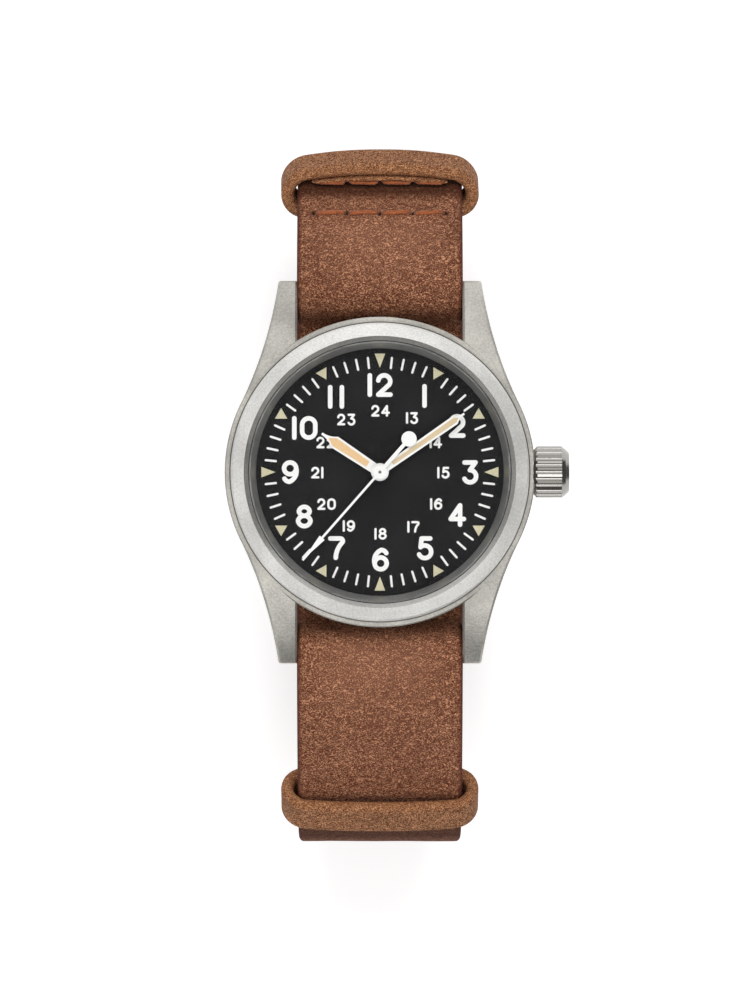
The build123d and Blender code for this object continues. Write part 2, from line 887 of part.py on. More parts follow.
small_hour_tall = small_hour_side * sin(radians(60))
with BuildPart() as hour_triangles:
    with BuildSketch(Plane.XY.offset(up(dial_h))):
        for hour in range(12):
            if hour % 3:
                base = dial_r - small_hour_margin + small_hour_tall / 3
                apex = base - small_hour_tall
                half = small_hour_side / 2
            else:
                base = dial_r - hour_margin
                apex = base - hour_l
                half = hour_base_w / 2
            with BuildLine():
                Polyline(
                    spot(hour * 30, apex, 0),
                    spot(hour * 30, base, half),
                    spot(hour * 30, base, -half),
                    close=True,
                )
            make_face()
    extrude(amount=lume_t)
keep("hour_triangles", hour_triangles)


def pointer(height, angle, root_w, wide, needle_w, shoulder_r, tip_r):
    """A hand's blade: it widens to its shoulder and draws in to a needle."""
    with BuildSketch(Plane.XY.offset(up(height)).rotated((0, 0, -angle))) as blade:
        with BuildLine():
            for side in (-1, 1):
                shoulder = (side * wide / 2, shoulder_r)
                bend_r = shoulder_r + (tip_r - shoulder_r) * needle_rise_share
                bend = (side * wide * needle_bend_share, bend_r)
                Line((side * root_w / 2, 0), shoulder)
                ThreePointArc(shoulder, bend, (side * needle_w / 2, tip_r))
            Line((-root_w / 2, 0), (root_w / 2, 0))
            Line((-needle_w / 2, tip_r), (needle_w / 2, tip_r))
        make_face()
    extrude(blade.sketch, amount=hand_t)


def lume(height, angle, root_w, wide, start_r, shoulder_r, tip):
    """The luminous filling on a hand, inside its white border."""
    root_half = root_w / 2 - hand_border
    half = wide / 2 - hand_border
    with BuildSketch(Plane.XY.offset(up(height) + hand_t).rotated((0, 0, -angle))) as filling:
        with BuildLine():
            Polyline(
                (-root_half, start_r),
                (-half, shoulder_r),
                (0, shoulder_r + tip),
                (half, shoulder_r),
                (root_half, start_r),
                close=True,
            )
        make_face()
    extrude(filling.sketch, amount=hand_lume_t)


def hub(radius, height, bore):
    """A hand's round hub, with the bore that seats it."""
    disc(radius, up(height) - hub_rise, up(height) + hand_t)
    disc(bore, up(height) - cut_over, up(height) + cut_over, mode=Mode.SUBTRACT)


with BuildPart() as hour_hand:
    pointer(
        hour_hand_h,
        hour_hand_angle,
        hour_hand_root_w,
        hour_hand_w,
        hour_needle_w,
        hour_shoulder_r,
        hour_hand_r,
    )
    hub(hand_hub_r, hour_hand_h, hour_pipe_r)
keep("hour_hand", hour_hand)

with BuildPart() as hour_hand_lume:
    lume(
        hour_hand_h,
        hour_hand_angle,
        hour_hand_root_w,
        hour_hand_w,
        hour_lume_in_r,
        hour_shoulder_r,
        hour_lume_tip,
    )
keep("hour_hand_lume", hour_hand_lume)

with BuildPart() as minute_hand:
    pointer(
        minute_hand_h,
        minute_hand_angle,
        minute_hand_root_w,
        minute_hand_w,
        minute_needle_w,
        minute_shoulder_r,
        minute_hand_r,
    )
    hub(hand_hub_r, minute_hand_h, cannon_pipe_r)
keep("minute_hand", minute_hand)

with BuildPart() as minute_hand_lume:
    lume(
        minute_hand_h,
        minute_hand_angle,
        minute_hand_root_w,
        minute_hand_w,
        minute_lume_in_r,
        minute_shoulder_r,
        minute_lume_tip,
    )
keep("minute_hand_lume", minute_hand_lume)

with BuildPart() as seconds_hand:
    with BuildSketch(Plane.XY.offset(up(seconds_hand_h)).rotated((0, 0, -seconds_hand_angle))) as needle:
        with BuildLine():
            Polyline(
                (-seconds_w / 2, 0),
                (-seconds_w / 2, arrow_root_r),
                (-arrow_w / 2, arrow_root_r),
                (-seconds_w / 2, arrow_tip_r),
                (-seconds_w / 2, seconds_tip_r),
                (seconds_w / 2, seconds_tip_r),
                (seconds_w / 2, arrow_tip_r),
                (arrow_w / 2, arrow_root_r),
                (seconds_w / 2, arrow_root_r),
                (seconds_w / 2, 0),
                close=True,
            )
        make_face()
        with Locations((0, -poise_at_r)):
            Circle(poise_r)
        with Locations((0, -poise_at_r / 2)):
            Rectangle(tail_w, poise_at_r)
    extrude(needle.sketch, amount=hand_t)
    hub(seconds_hub_r, seconds_hand_h, seconds_arbor_r)
keep("seconds_hand", seconds_hand)

# Main plate, with the barrel's recess, the slot of the winding work and its posts
with BuildPart() as main_plate:
    disc(movement_r, plate_low, up(plate_top_h))
    disc(centre_tube_r + running_play, plate_low, up(plate_top_h), mode=Mode.SUBTRACT)
    barrel_drum_r = barrel_teeth * barrel_gap / (barrel_teeth + centre_pinion_teeth) * barrel_drum_share
    disc(
        barrel_drum_r + barrel_recess_play,
        plate_low,
        up(barrel_top_h) + disc_gap,
        barrel_place,
        mode=Mode.SUBTRACT,
    )
    disc(barrel_pivot_r + running_play, plate_low, up(plate_top_h), barrel_place, mode=Mode.SUBTRACT)
    for place in (third_place, escape_place, pallet_place, balance_place):
        disc(jewel_r, plate_low, plate_low + jewel_t, place, mode=Mode.SUBTRACT)
    for place in barrel_feet + train_feet:
        disc(screw_r, plate_low, plate_low + screw_deep, place, mode=Mode.SUBTRACT)
    with BuildSketch(Plane.XY.offset(plate_low)):
        with Locations(((pinion_slot_x + movement_r + cut_over) / 2, 0)):
            Rectangle(movement_r + cut_over - pinion_slot_x, pinion_slot_w)
    extrude(amount=plate_top_h - plate_h, mode=Mode.SUBTRACT)
    shaft(stem_pilot_r + running_play, stem_pilot_x - stem_room, pinion_slot_x, mode=Mode.SUBTRACT)
    disc(minute_post_r, up(plate_top_h), up(minute_pinion_top_h), minute_place)
    disc(lever_post_r, up(plate_top_h), up(lever_h + lever_t), (lever_x, lever_y))
keep("main_plate", main_plate)

# Bridges on the back of the movement
with BuildPart() as barrel_bridge:
    with BuildSketch(Plane.XY.offset(up(bridge_h))):
        with Locations((0, bridge_edge_y)):
            Rectangle(2 * bridge_edge_r, bridge_edge_r, align=(Align.CENTER, Align.MIN))
        with Locations((bridge_arm_x, bridge_arm_y)):
            Rectangle(bridge_edge_r, bridge_edge_r, align=(Align.MIN, Align.MIN))
        Circle(bridge_edge_r, mode=Mode.INTERSECT)
    extrude(amount=barrel_bridge_t)
    for place in barrel_feet:
        disc(pillar_r, up(bridge_h), plate_low, place)
        disc(screw_r, up(bridge_h), plate_low, place, mode=Mode.SUBTRACT)
    disc(barrel_core_r, up(bridge_h), up(barrel_low_h) - disc_gap, barrel_place)
    disc(barrel_arbor_r + running_play, up(bridge_h), up(barrel_low_h), barrel_place, mode=Mode.SUBTRACT)
    disc(
        crown_wheel_arbor_r + running_play,
        up(bridge_h),
        up(bridge_h + barrel_bridge_t),
        crown_wheel_place,
        mode=Mode.SUBTRACT,
    )
    click_place = away(barrel_place, click_at, click_from_r)
    disc(click_post_r, up(ratchet_h), up(bridge_h), click_place)
keep("barrel_bridge", barrel_bridge)

with BuildPart() as train_bridge:
    bosses = [((0, 0), boss_r), (third_place, boss_r), (escape_place, escape_boss_r)]
    hull(bosses + [(place, boss_r) for place in train_feet], up(bridge_h), bridge_top)
    disc(balance_r + bridge_room, up(bridge_h), bridge_top, balance_place, mode=Mode.SUBTRACT)
    for place in train_feet:
        disc(pillar_r, up(bridge_h), plate_low, place)
        disc(screw_r, up(bridge_h), plate_low, place, mode=Mode.SUBTRACT)
    for place in ((0, 0), third_place, escape_place):
        disc(jewel_r, bridge_top - jewel_t, bridge_top, place, mode=Mode.SUBTRACT)
keep("train_bridge", train_bridge)

with BuildPart() as pallet_bridge:
    bosses = [(place, pallet_foot_r) for place in pallet_feet + [pallet_place]]
    hull(bosses, up(pallet_bridge_h), up(pallet_bridge_h + pallet_bridge_t))
    for place in pallet_feet:
        disc(pallet_foot_r, up(pallet_bridge_h), plate_low, place)
    disc(
        pivot_r + fine_play,
        up(pallet_bridge_h),
        up(pallet_bridge_h + pallet_bridge_t),
        pallet_place,
        mode=Mode.SUBTRACT,
    )
keep("pallet_bridge", pallet_bridge)

with BuildPart() as balance_cock:
    hull([(balance_place, cock_r), (cock_foot, cock_r)], up(cock_h), up(cock_h + cock_t))
    disc(pillar_r, up(cock_h), plate_low, cock_foot)
    disc(jewel_r, up(cock_h), up(cock_h + cock_t), balance_place, mode=Mode.SUBTRACT)
keep("balance_cock", balance_cock)

with BuildPart() as jewels:
    for place in (third_place, escape_place, pallet_place, balance_place):
        disc(jewel_r, plate_low, plate_low + jewel_t, place, bore=pivot_r + fine_play)
    for place in ((0, 0), third_place, escape_place):
        disc(jewel_r, bridge_top - jewel_t, bridge_top, place, bore=pivot_r + fine_play)
    disc(jewel_r, up(cock_h), up(cock_h + cock_t), balance_place, bore=pivot_r + fine_play)
keep("jewels", jewels)

with BuildPart() as bridge_screws:
    for place in barrel_feet + train_feet:
        disc(screw_head_r, up(bridge_h) - screw_head_t, up(bridge_h), place)
        disc(screw_r, up(bridge_h), plate_low + screw_deep, place)
keep("bridge_screws", bridge_screws)

# Going train, each pair in mesh on the line between its centres
centre_module = 2 * centre_third_gap / (centre_teeth + third_pinion_teeth)
third_module = 2 * centre_third_gap / (third_teeth + fourth_pinion_teeth)
fourth_module = 2 * fourth_escape_gap / (fourth_teeth + escape_pinion_teeth)
barrel_module = 2 * barrel_gap / (barrel_teeth + centre_pinion_teeth)
cannon_module = 2 * motion_gap / (cannon_teeth + minute_wheel_teeth)
hour_module = 2 * motion_gap / (minute_pinion_teeth + hour_wheel_teeth)


def gap_phase(angle, teeth):
    """The phase that puts a gap, not a tooth, on a direction."""
    return angle + 180 / teeth


with BuildPart() as centre_wheel:
    gear(centre_teeth, centre_module, (0, 0), third_at, up(centre_wheel_h), up(centre_wheel_h) + wheel_t)
    crossings(centre_third_gap, (0, 0), up(centre_wheel_h), up(centre_wheel_h) + wheel_t)
    gear(
        centre_pinion_teeth,
        barrel_module,
        (0, 0),
        barrel_at,
        up(centre_pinion_h),
        up(centre_pinion_h) + centre_pinion_t,
    )
    disc(centre_tube_r, up(centre_wheel_h), up(minute_hand_h) - hub_rise)
    disc(centre_bore_r, up(0), up(minute_hand_h), mode=Mode.SUBTRACT)
keep("centre_wheel", centre_wheel)

with BuildPart() as third_wheel:
    arbor(third_place, bridge_top, plate_low, arbor_r)
    gear(
        third_teeth,
        third_module,
        third_place,
        third_at + 180,
        up(third_wheel_h),
        up(third_wheel_h) + wheel_t,
    )
    crossings(centre_third_gap, third_place, up(third_wheel_h), up(third_wheel_h) + wheel_t)
    gear(
        third_pinion_teeth,
        centre_module,
        third_place,
        gap_phase(third_at + 180, third_pinion_teeth),
        up(third_pinion_h),
        up(third_pinion_h) + third_pinion_t,
    )
    disc(third_hub_r, up(third_wheel_h), up(third_pinion_h), third_place)
keep("third_wheel", third_wheel)

with BuildPart() as fourth_wheel:
    gear(fourth_teeth, fourth_module, (0, 0), escape_at, up(fourth_wheel_h), up(fourth_wheel_h) + wheel_t)
    crossings(fourth_escape_gap, (0, 0), up(fourth_wheel_h), up(fourth_wheel_h) + wheel_t)
    gear(
        fourth_pinion_teeth,
        third_module,
        (0, 0),
        gap_phase(third_at, fourth_pinion_teeth),
        up(fourth_pinion_h),
        up(fourth_pinion_h) + fourth_pinion_t,
    )
    disc(seconds_arbor_r, bridge_top + disc_gap, up(seconds_hand_h) + hand_t)
    disc(pivot_r, bridge_top - pivot_l, bridge_top + disc_gap)
keep("fourth_wheel", fourth_wheel)

with BuildPart() as escape_wheel:
    arbor(escape_place, bridge_top, plate_low, arbor_r)
    gear(
        escape_pinion_teeth,
        fourth_module,
        escape_place,
        gap_phase(escape_at + 180, escape_pinion_teeth),
        bridge_top + disc_gap,
        up(fourth_pinion_h) + fourth_pinion_t,
    )
    points = []
    for tooth in range(escape_wheel_teeth):
        for turn, reach in ((0, escape_root_share), (escape_back_share, 1), (1, 1)):
            lean = (tooth + turn * escape_lean_share) * 360 / escape_wheel_teeth
            x, y = polar(lean, reach * escape_wheel_r)
            points.append((escape_place[0] + x, escape_place[1] + y))
    with BuildSketch(Plane.XY.offset(up(escape_wheel_h))):
        with BuildLine():
            Polyline(*points, close=True)
        make_face()
    extrude(amount=wheel_t)
keep("escape_wheel", escape_wheel)

# Barrel with its spring and arbor, and the ratchet that winds it
with BuildPart() as barrel:
    gear(
        barrel_teeth,
        barrel_module,
        barrel_place,
        gap_phase(barrel_at + 180, barrel_teeth),
        up(barrel_low_h),
        up(barrel_low_h) + barrel_flange_t,
    )
    disc(barrel_drum_r, up(barrel_low_h), up(barrel_top_h), barrel_place)
    disc(
        barrel_drum_r - barrel_wall,
        up(barrel_low_h) + barrel_floor,
        up(barrel_top_h),
        barrel_place,
        mode=Mode.SUBTRACT,
    )
    disc(barrel_arbor_r + running_play, up(barrel_low_h), up(barrel_top_h), barrel_place, mode=Mode.SUBTRACT)
keep("barrel", barrel)

spring_low = up(barrel_low_h) + barrel_floor + fine_play
spring_high = up(barrel_top_h) - barrel_floor
with BuildPart() as mainspring:
    with BuildSketch(Plane.XY.offset(spring_low)):
        start = (barrel_place[0] + spring_in_r, barrel_place[1])
        band(start, 90, spiral(spring_in_r, spring_pitch, spring_turns), spring_t)
    extrude(amount=spring_high - spring_low)
keep("mainspring", mainspring)

with BuildPart() as barrel_arbor:
    disc(barrel_arbor_r, up(ratchet_h), up(barrel_top_h), barrel_place)
    disc(barrel_core_r, spring_low, spring_high, barrel_place)
    disc(barrel_pivot_r, up(barrel_top_h), up(plate_top_h), barrel_place)
keep("barrel_arbor", barrel_arbor)

crown_gap = hypot(barrel_place[0] - crown_wheel_x, barrel_place[1])
crown_line = degrees(atan2(-barrel_place[1], crown_wheel_x - barrel_place[0]))
ratchet_module = 2 * crown_gap / (ratchet_teeth + crown_wheel_teeth)
ratchet_r = ratchet_module * ratchet_teeth / 2
with BuildPart() as ratchet_wheel:
    gear(ratchet_teeth, ratchet_module, barrel_place, crown_line, up(ratchet_h), up(ratchet_h) + ratchet_t)
    disc(barrel_arbor_r, up(ratchet_h), up(bridge_h), barrel_place, mode=Mode.SUBTRACT)
keep("ratchet_wheel", ratchet_wheel)

with BuildPart() as crown_wheel:
    gear(
        crown_wheel_teeth,
        ratchet_module,
        crown_wheel_place,
        gap_phase(crown_line + 180, crown_wheel_teeth),
        up(ratchet_h),
        up(ratchet_h) + ratchet_t,
    )
    disc(crown_wheel_arbor_r, up(ratchet_h), up(contrate_h), crown_wheel_place)
    disc(contrate_r, up(contrate_h), up(contrate_h) + contrate_t, crown_wheel_place)
    with BuildSketch(Plane.XY.offset(up(contrate_h) + contrate_t)):
        with Locations(crown_wheel_place):
            with PolarLocations(contrate_r - contrate_tooth_l / 2, contrate_teeth):
                Rectangle(contrate_tooth_l, contrate_tooth_w)
    extrude(amount=contrate_tooth)
keep("crown_wheel", crown_wheel)

with BuildPart() as click:
    tip_place = away(barrel_place, click_tip_at, ratchet_r + click_tip_gap)
    hull([(click_place, click_r), (tip_place, click_tip_r)], up(ratchet_h), up(ratchet_h) + ratchet_t)
    disc(click_post_r + running_play, up(ratchet_h), up(bridge_h), click_place, mode=Mode.SUBTRACT)
keep("click", click)

# Escapement: the fork between the escape wheel and the balance
fork_low = up(escape_wheel_h)
with BuildPart() as pallet_fork:
    disc(fork_hub_r, fork_low, fork_low + fork_t, pallet_place)
    for side in (-stone_half_angle, stone_half_angle):
        tip = away(escape_place, pallet_at + side, escape_wheel_r + stone_play)
        end = away(tip, pallet_at + side, stone_l)
        hull([(pallet_place, stone_w / 2), (end, stone_w / 2)], fork_low, fork_low + fork_t)
        with BuildSketch(Plane.XY.offset(fork_low)):
            with Locations(Location(tip, pallet_at + side)):
                Rectangle(stone_l, stone_w, align=(Align.MIN, Align.CENTER))
        extrude(amount=fork_t)
    fork_plane = Plane.XY.offset(fork_low).move(Location(pallet_place, (0, 0, pallet_at)))
    with BuildSketch(fork_plane) as fork_shape:
        head = balance_arm - fork_front
        head_w = fork_slot_w + 2 * fork_horn_w
        with Locations((head / 2, 0)):
            Rectangle(head, fork_arm_w)
        with Locations((head - fork_head_l / 2, 0)):
            Rectangle(fork_head_l, head_w)
        with Locations((head - fork_slot_deep / 2, 0)):
            Rectangle(fork_slot_deep, fork_slot_w, mode=Mode.SUBTRACT)
    extrude(fork_shape.sketch, amount=fork_t)
    disc(arbor_r, up(pallet_bridge_h + pallet_bridge_t) + disc_gap, plate_low - disc_gap, pallet_place)
    disc(pivot_r, up(pallet_bridge_h) + disc_gap, plate_low + pivot_l, pallet_place)
keep("pallet_fork", pallet_fork)

with BuildPart() as balance_wheel:
    disc(balance_r, up(balance_h), up(balance_h + balance_t), balance_place, bore=balance_r - balance_rim_w)
    with BuildSketch(Plane.XY.offset(up(balance_h))):
        for spoke in range(3):
            with Locations(Location(balance_place, spoke * 120)):
                Rectangle(balance_r - balance_rim_w / 2, balance_spoke_w, align=(Align.MIN, Align.CENTER))
    extrude(amount=balance_t)
    disc(staff_r, up(cock_h + cock_t) + disc_gap, plate_low - disc_gap, balance_place)
    disc(pivot_r, up(cock_h + cock_t) - pivot_l, plate_low + pivot_l, balance_place)
    disc(roller_r, up(roller_h), up(roller_h + roller_t), balance_place)
    pin_place = away(balance_place, pallet_at + 180, roller_pin_at)
    disc(roller_pin_r, fork_low, up(roller_h), pin_place)
keep("balance_wheel", balance_wheel)

with BuildPart() as hairspring:
    with BuildSketch(Plane.XY.offset(up(hair_h))):
        start = (balance_place[0] + hair_in_r, balance_place[1])
        band(start, 90, spiral(hair_in_r, hair_pitch, hair_turns), hair_w)
    extrude(amount=hair_t)
keep("hairspring", hairspring)

# Motion work: it drives the hour hand from the cannon pinion
with BuildPart() as cannon_pinion:
    gear(
        cannon_teeth,
        cannon_module,
        (0, 0),
        minute_wheel_at,
        up(cannon_low_h),
        up(cannon_low_h) + cannon_teeth_t,
    )
    disc(cannon_pipe_r, up(cannon_low_h) + cannon_teeth_t, up(minute_hand_h) + hand_t)
    disc(centre_tube_r, up(cannon_low_h), up(minute_hand_h) - hub_rise, mode=Mode.SUBTRACT)
    disc(centre_bore_r, up(cannon_low_h), up(minute_hand_h) + hand_t, mode=Mode.SUBTRACT)
keep("cannon_pinion", cannon_pinion)

with BuildPart() as minute_wheel:
    gear(
        minute_wheel_teeth,
        cannon_module,
        minute_place,
        gap_phase(minute_wheel_at + 180, minute_wheel_teeth),
        up(minute_wheel_h),
        up(minute_wheel_h) + wheel_t,
    )
    gear(
        minute_pinion_teeth,
        hour_module,
        minute_place,
        minute_wheel_at + 180,
        up(minute_wheel_h) + wheel_t,
        up(minute_pinion_top_h),
    )
    disc(
        minute_post_r + running_play,
        up(plate_top_h),
        up(minute_pinion_top_h),
        minute_place,
        mode=Mode.SUBTRACT,
    )
keep("minute_wheel", minute_wheel)

with BuildPart() as hour_wheel:
    gear(
        hour_wheel_teeth,
        hour_module,
        (0, 0),
        gap_phase(minute_wheel_at, hour_wheel_teeth),
        up(hour_wheel_h),
        up(hour_wheel_h) + wheel_t,
    )
    disc(hour_pipe_r, up(hour_wheel_h), up(hour_hand_h) + hand_t)
    disc(hour_pipe_in_r, up(hour_wheel_h), up(hour_hand_h) + hand_t, mode=Mode.SUBTRACT)
keep("hour_wheel", hour_wheel)

# Winding work and crown
with BuildPart() as winding_stem:
    shaft(stem_r, stem_in_x, crown_stem_x)
    shaft(stem_pilot_r, stem_pilot_x, stem_in_x)
keep("winding_stem", winding_stem)

with BuildPart() as winding_pinion:
    shaft(winding_pinion_r, winding_pinion_x, winding_pinion_x + winding_pinion_l)
    with BuildSketch(Plane.YZ.offset(winding_pinion_x)):
        with Locations((0, up(crown_h))):
            with PolarLocations(winding_pinion_r, winding_pinion_teeth):
                Rectangle(pinion_notch, pinion_notch)
    extrude(amount=winding_pinion_l, mode=Mode.SUBTRACT)
    shaft(stem_r + running_play, winding_pinion_x, winding_pinion_x + winding_pinion_l, mode=Mode.SUBTRACT)
keep("winding_pinion", winding_pinion)

with BuildPart() as sliding_pinion:
    shaft(sliding_pinion_r, sliding_pinion_x, sliding_pinion_x + sliding_pinion_l)
    middle = sliding_pinion_x + sliding_pinion_l / 2
    shaft(
        sliding_pinion_r,
        middle - pinion_groove_w / 2,
        middle + pinion_groove_w / 2,
        bore=sliding_pinion_r - pinion_notch,
        mode=Mode.SUBTRACT,
    )
    shaft(stem_r + running_play, sliding_pinion_x, sliding_pinion_x + sliding_pinion_l, mode=Mode.SUBTRACT)
keep("sliding_pinion", sliding_pinion)

with BuildPart() as setting_lever:
    bosses = [((lever_x, lever_y), lever_r), ((lever_tip_x, lever_tip_y), lever_tip_r)]
    hull(bosses, up(lever_h), up(lever_h + lever_t))
    disc(
        lever_post_r + running_play,
        up(lever_h),
        up(lever_h + lever_t),
        (lever_x, lever_y),
        mode=Mode.SUBTRACT,
    )
keep("setting_lever", setting_lever)

crown_axis = Axis((0, 0, up(crown_h)), (1, 0, 0))
with BuildPart() as crown:
    with BuildSketch(Plane.XZ):
        with BuildLine():
            Polyline(
                (crown_in_x, up(crown_h)),
                (crown_in_x, up(crown_h) + crown_neck_r),
                (crown_flute_x, up(crown_h) + crown_r),
                (crown_flute_end_x, up(crown_h) + crown_r),
                (crown_cap_x, up(crown_h) + crown_cap_mid_r),
                (crown_end_x, up(crown_h) + crown_cap_r),
                (crown_end_x, up(crown_h)),
                close=True,
            )
        make_face()
    revolve(axis=crown_axis)
    with BuildSketch(Plane.YZ.offset(crown_in_x)):
        with Locations((0, up(crown_h))):
            with PolarLocations(crown_root_r + flute_r, crown_flutes):
                Circle(flute_r)
    extrude(amount=crown_flute_end_x - crown_in_x, mode=Mode.SUBTRACT)
    shaft(crown_recess_r, crown_in_x, crown_recess_end_x, mode=Mode.SUBTRACT)
    shaft(stem_r, crown_recess_end_x, crown_stem_x, mode=Mode.SUBTRACT)
keep("crown", crown)

with BuildPart() as crown_gasket:
    shaft(crown_recess_r, crown_gasket_x, crown_gasket_x + crown_gasket_l, bore=tube_r + running_play)
keep("crown_gasket", crown_gasket)

# Spring bars between the lugs, and their sprung tips
with BuildPart() as spring_bars:
    for side in (-bar_y, bar_y):
        place = (side, up(bar_h))
        cross_bar(bar_tube_r, place, -bar_tube_half, bar_tube_half)
        for start, end in ((-bar_tube_half, -bar_bore_end), (bar_bore_end, bar_tube_half)):
            cross_bar(bar_tip_r + lug_hole_play, place, start, end, Mode.SUBTRACT)
keep("spring_bars", spring_bars)

for row, side_y in (("top", bar_y), ("low", -bar_y)):
    for hand, start, end in (("left", -bar_tip_out, -bar_tip_in), ("right", bar_tip_in, bar_tip_out)):
        with BuildPart() as bar_tip:
            cross_bar(bar_tip_r, (side_y, up(bar_h)), start, end)
        keep(f"bar_tip_{row}_{hand}", bar_tip)

# Strap: its route is worked out from the floor it stands on up to the spring bars
wrap_r = bar_tube_r + bar_wrap_play + strap_t / 2
flat_z = under_t + layer_gap + strap_t / 2
rise_slope = (
    up(bar_h) + wrap_r * cos(radians(rise_turn)) - flat_z - rise_bend_r * (1 - cos(radians(rise_turn)))
) / sin(radians(rise_turn))
rise_start = (
    bar_y
    - (wrap_r + rise_bend_r) * sin(radians(rise_turn))
    - rise_slope * cos(radians(rise_turn))
)
floor_z = case_floor - loop_drop
tail_z = floor_z + keeper_wall + slip + strap_t / 2
inner_z = tail_z + strap_t + slip
step_z = floor_z + 2 * frame_bar_r + frame_side_gap + strap_t / 2
pivot_z = inner_z + wrap_r
leave_y = bar_y + wrap_r * sin(radians(leave_angle))
leave_z = up(bar_h) + wrap_r * cos(radians(leave_angle))


def fall(shoulder_r, shoulder_turn, side_r):
    """Where a shoulder's two bends have their centres and end: places out from the dial's axis and on Z."""
    first = radians(leave_angle)
    second = radians(leave_angle + shoulder_turn)
    shoulder = (leave_y - shoulder_r * sin(first), leave_z - shoulder_r * cos(first))
    apart = shoulder_r - side_r
    return shoulder, (shoulder[0] + apart * sin(second), shoulder[1] + apart * cos(second))


top_shoulder, top_side = fall(top_shoulder_r, top_shoulder_turn, top_side_r)
low_shoulder, low_side = fall(low_shoulder_r, low_shoulder_turn, low_side_r)
top_heel = (top_side[0] + top_side_r - top_heel_r, inner_z + top_heel_r)
low_heel = (low_side[0] + low_side_r - low_heel_r, step_z + low_heel_r)
step_turn = degrees(acos(1 - (step_z - tail_z) / (2 * step_r)))
step_end = step_start_y + 2 * step_r * sin(radians(step_turn))
fold_drop = wrap_r * cos(radians(fold_down_turn)) + wrap_r - strap_t - slip
fold_slope = (fold_drop - fold_blend_r * (1 - cos(radians(fold_down_turn)))) / sin(radians(fold_down_turn))
fold_end = (
    pivot_y
    + (wrap_r + fold_blend_r) * sin(radians(fold_down_turn))
    + fold_slope * cos(radians(fold_down_turn))
    + fold_flat
)
top_route = [
    (rise_start, 0),
    (rise_bend_r, rise_turn),
    (rise_slope, 0),
    (wrap_r, -rise_turn - leave_angle),
    (top_shoulder_r, -top_shoulder_turn),
    (top_side_r, leave_angle + top_shoulder_turn - 90),
    (top_side[1] - top_heel[1], 0),
    (top_heel_r, -90),
    (top_heel[0] - pivot_y, 0),
    (wrap_r, -180 - fold_down_turn),
    (fold_slope, 0),
    (fold_blend_r, fold_down_turn),
    (fold_flat, 0),
]
low_route = [
    (rise_start, 0),
    (rise_bend_r, -rise_turn),
    (rise_slope, 0),
    (wrap_r, rise_turn + leave_angle),
    (low_shoulder_r, low_shoulder_turn),
    (low_side_r, 90 - leave_angle - low_shoulder_turn),
    (low_side[1] - low_heel[1], 0),
    (low_heel_r, 90),
    (low_heel[0] + step_start_y, 0),
    (step_r, -step_turn),
    (step_r, step_turn),
    (top_heel[0] - step_end, 0),
    (top_heel_r + strap_t + slip, tail_sweep),
]
with BuildPart() as strap_main:
    with BuildSketch(Plane.YZ):
        band((0, flat_z), 0, top_route, strap_t)
        band((0, flat_z), 180, low_route, strap_t)
    extrude(amount=strap_w / 2, both=True)
    side_block(
        pivot_y + (fold_slot_end - wrap_r - strap_t) / 2,
        fold_slot_w,
        fold_slot_end + wrap_r + strap_t,
        inner_z - (strap_t + slip) / 2,
        pivot_z + wrap_r + strap_t,
        Mode.SUBTRACT,
    )
    side_block(pin_hole_y, hole_w, pin_hole_l, floor_z, pivot_z, Mode.SUBTRACT)
    for step in hole_steps:
        middle = hole_y + step * hole_pitch
        ceiling = pivot_z if middle < pin_hole_y else inner_z - (strap_t + slip) / 2
        side_block(middle, hole_w, hole_l, floor_z, ceiling, Mode.SUBTRACT)
    tail_y, tail_rise = polar(tail_sweep - 90, top_heel_r + strap_t + slip)
    for side in (-strap_w / 2, strap_w / 2):
        corner = (side, top_heel[0] + tail_y, top_heel[1] + tail_rise)
        fillet(strap_main.edges().filter_by(GeomType.LINE).sort_by_distance(corner)[0], tail_tip_round)
keep("strap_main", strap_main)


def under_route(blend_r, shoulder, shoulder_r, shoulder_turn, side_r, end_angle):
    """The under strap's route to one side: flat below the case, then close inside the main strap."""
    inset = strap_t / 2 + layer_gap + under_t / 2
    reach = shoulder_r - inset - blend_r
    rise = under_t / 2 - blend_r - shoulder[1]
    level = sqrt(reach**2 - rise**2)
    turn = degrees(atan2(level, rise))
    return [
        (shoulder[0] + level, 0),
        (blend_r, turn),
        (shoulder_r - inset, leave_angle + shoulder_turn - turn),
        (side_r - inset, 90 - end_angle - leave_angle - shoulder_turn),
    ]


with BuildPart() as under_strap:
    with BuildSketch(Plane.YZ):
        route = under_route(
            top_blend_r, top_shoulder, top_shoulder_r, top_shoulder_turn, top_side_r, top_under_end_angle
        )
        band((0, under_t / 2), 0, [(size, -turn) for size, turn in route], under_t)
        route = under_route(
            low_blend_r, low_shoulder, low_shoulder_r, low_shoulder_turn, low_side_r, low_under_end_angle
        )
        band((0, under_t / 2), 180, route, under_t)
    extrude(amount=strap_w / 2, both=True)
keep("under_strap", under_strap)


def strap_plane(y, z, heading):
    """A plane across the strap at a point of its route, seen from the crown side."""
    return Plane((0, y, z), x_dir=(1, 0, 0), z_dir=(0, *polar(heading, 1)))


def keeper(place, heading, inside, length, bend_r):
    """A leather loop around the strap, of one thickness all round."""
    wide = strap_w + 2 * keeper_end_room
    with BuildSketch(strap_plane(*place, heading)) as section:
        RectangleRounded(wide + 2 * keeper_wall, inside + 2 * keeper_wall, bend_r + keeper_wall)
        RectangleRounded(wide, inside, bend_r, mode=Mode.SUBTRACT)
    extrude(section.sketch, amount=length / 2, both=True)


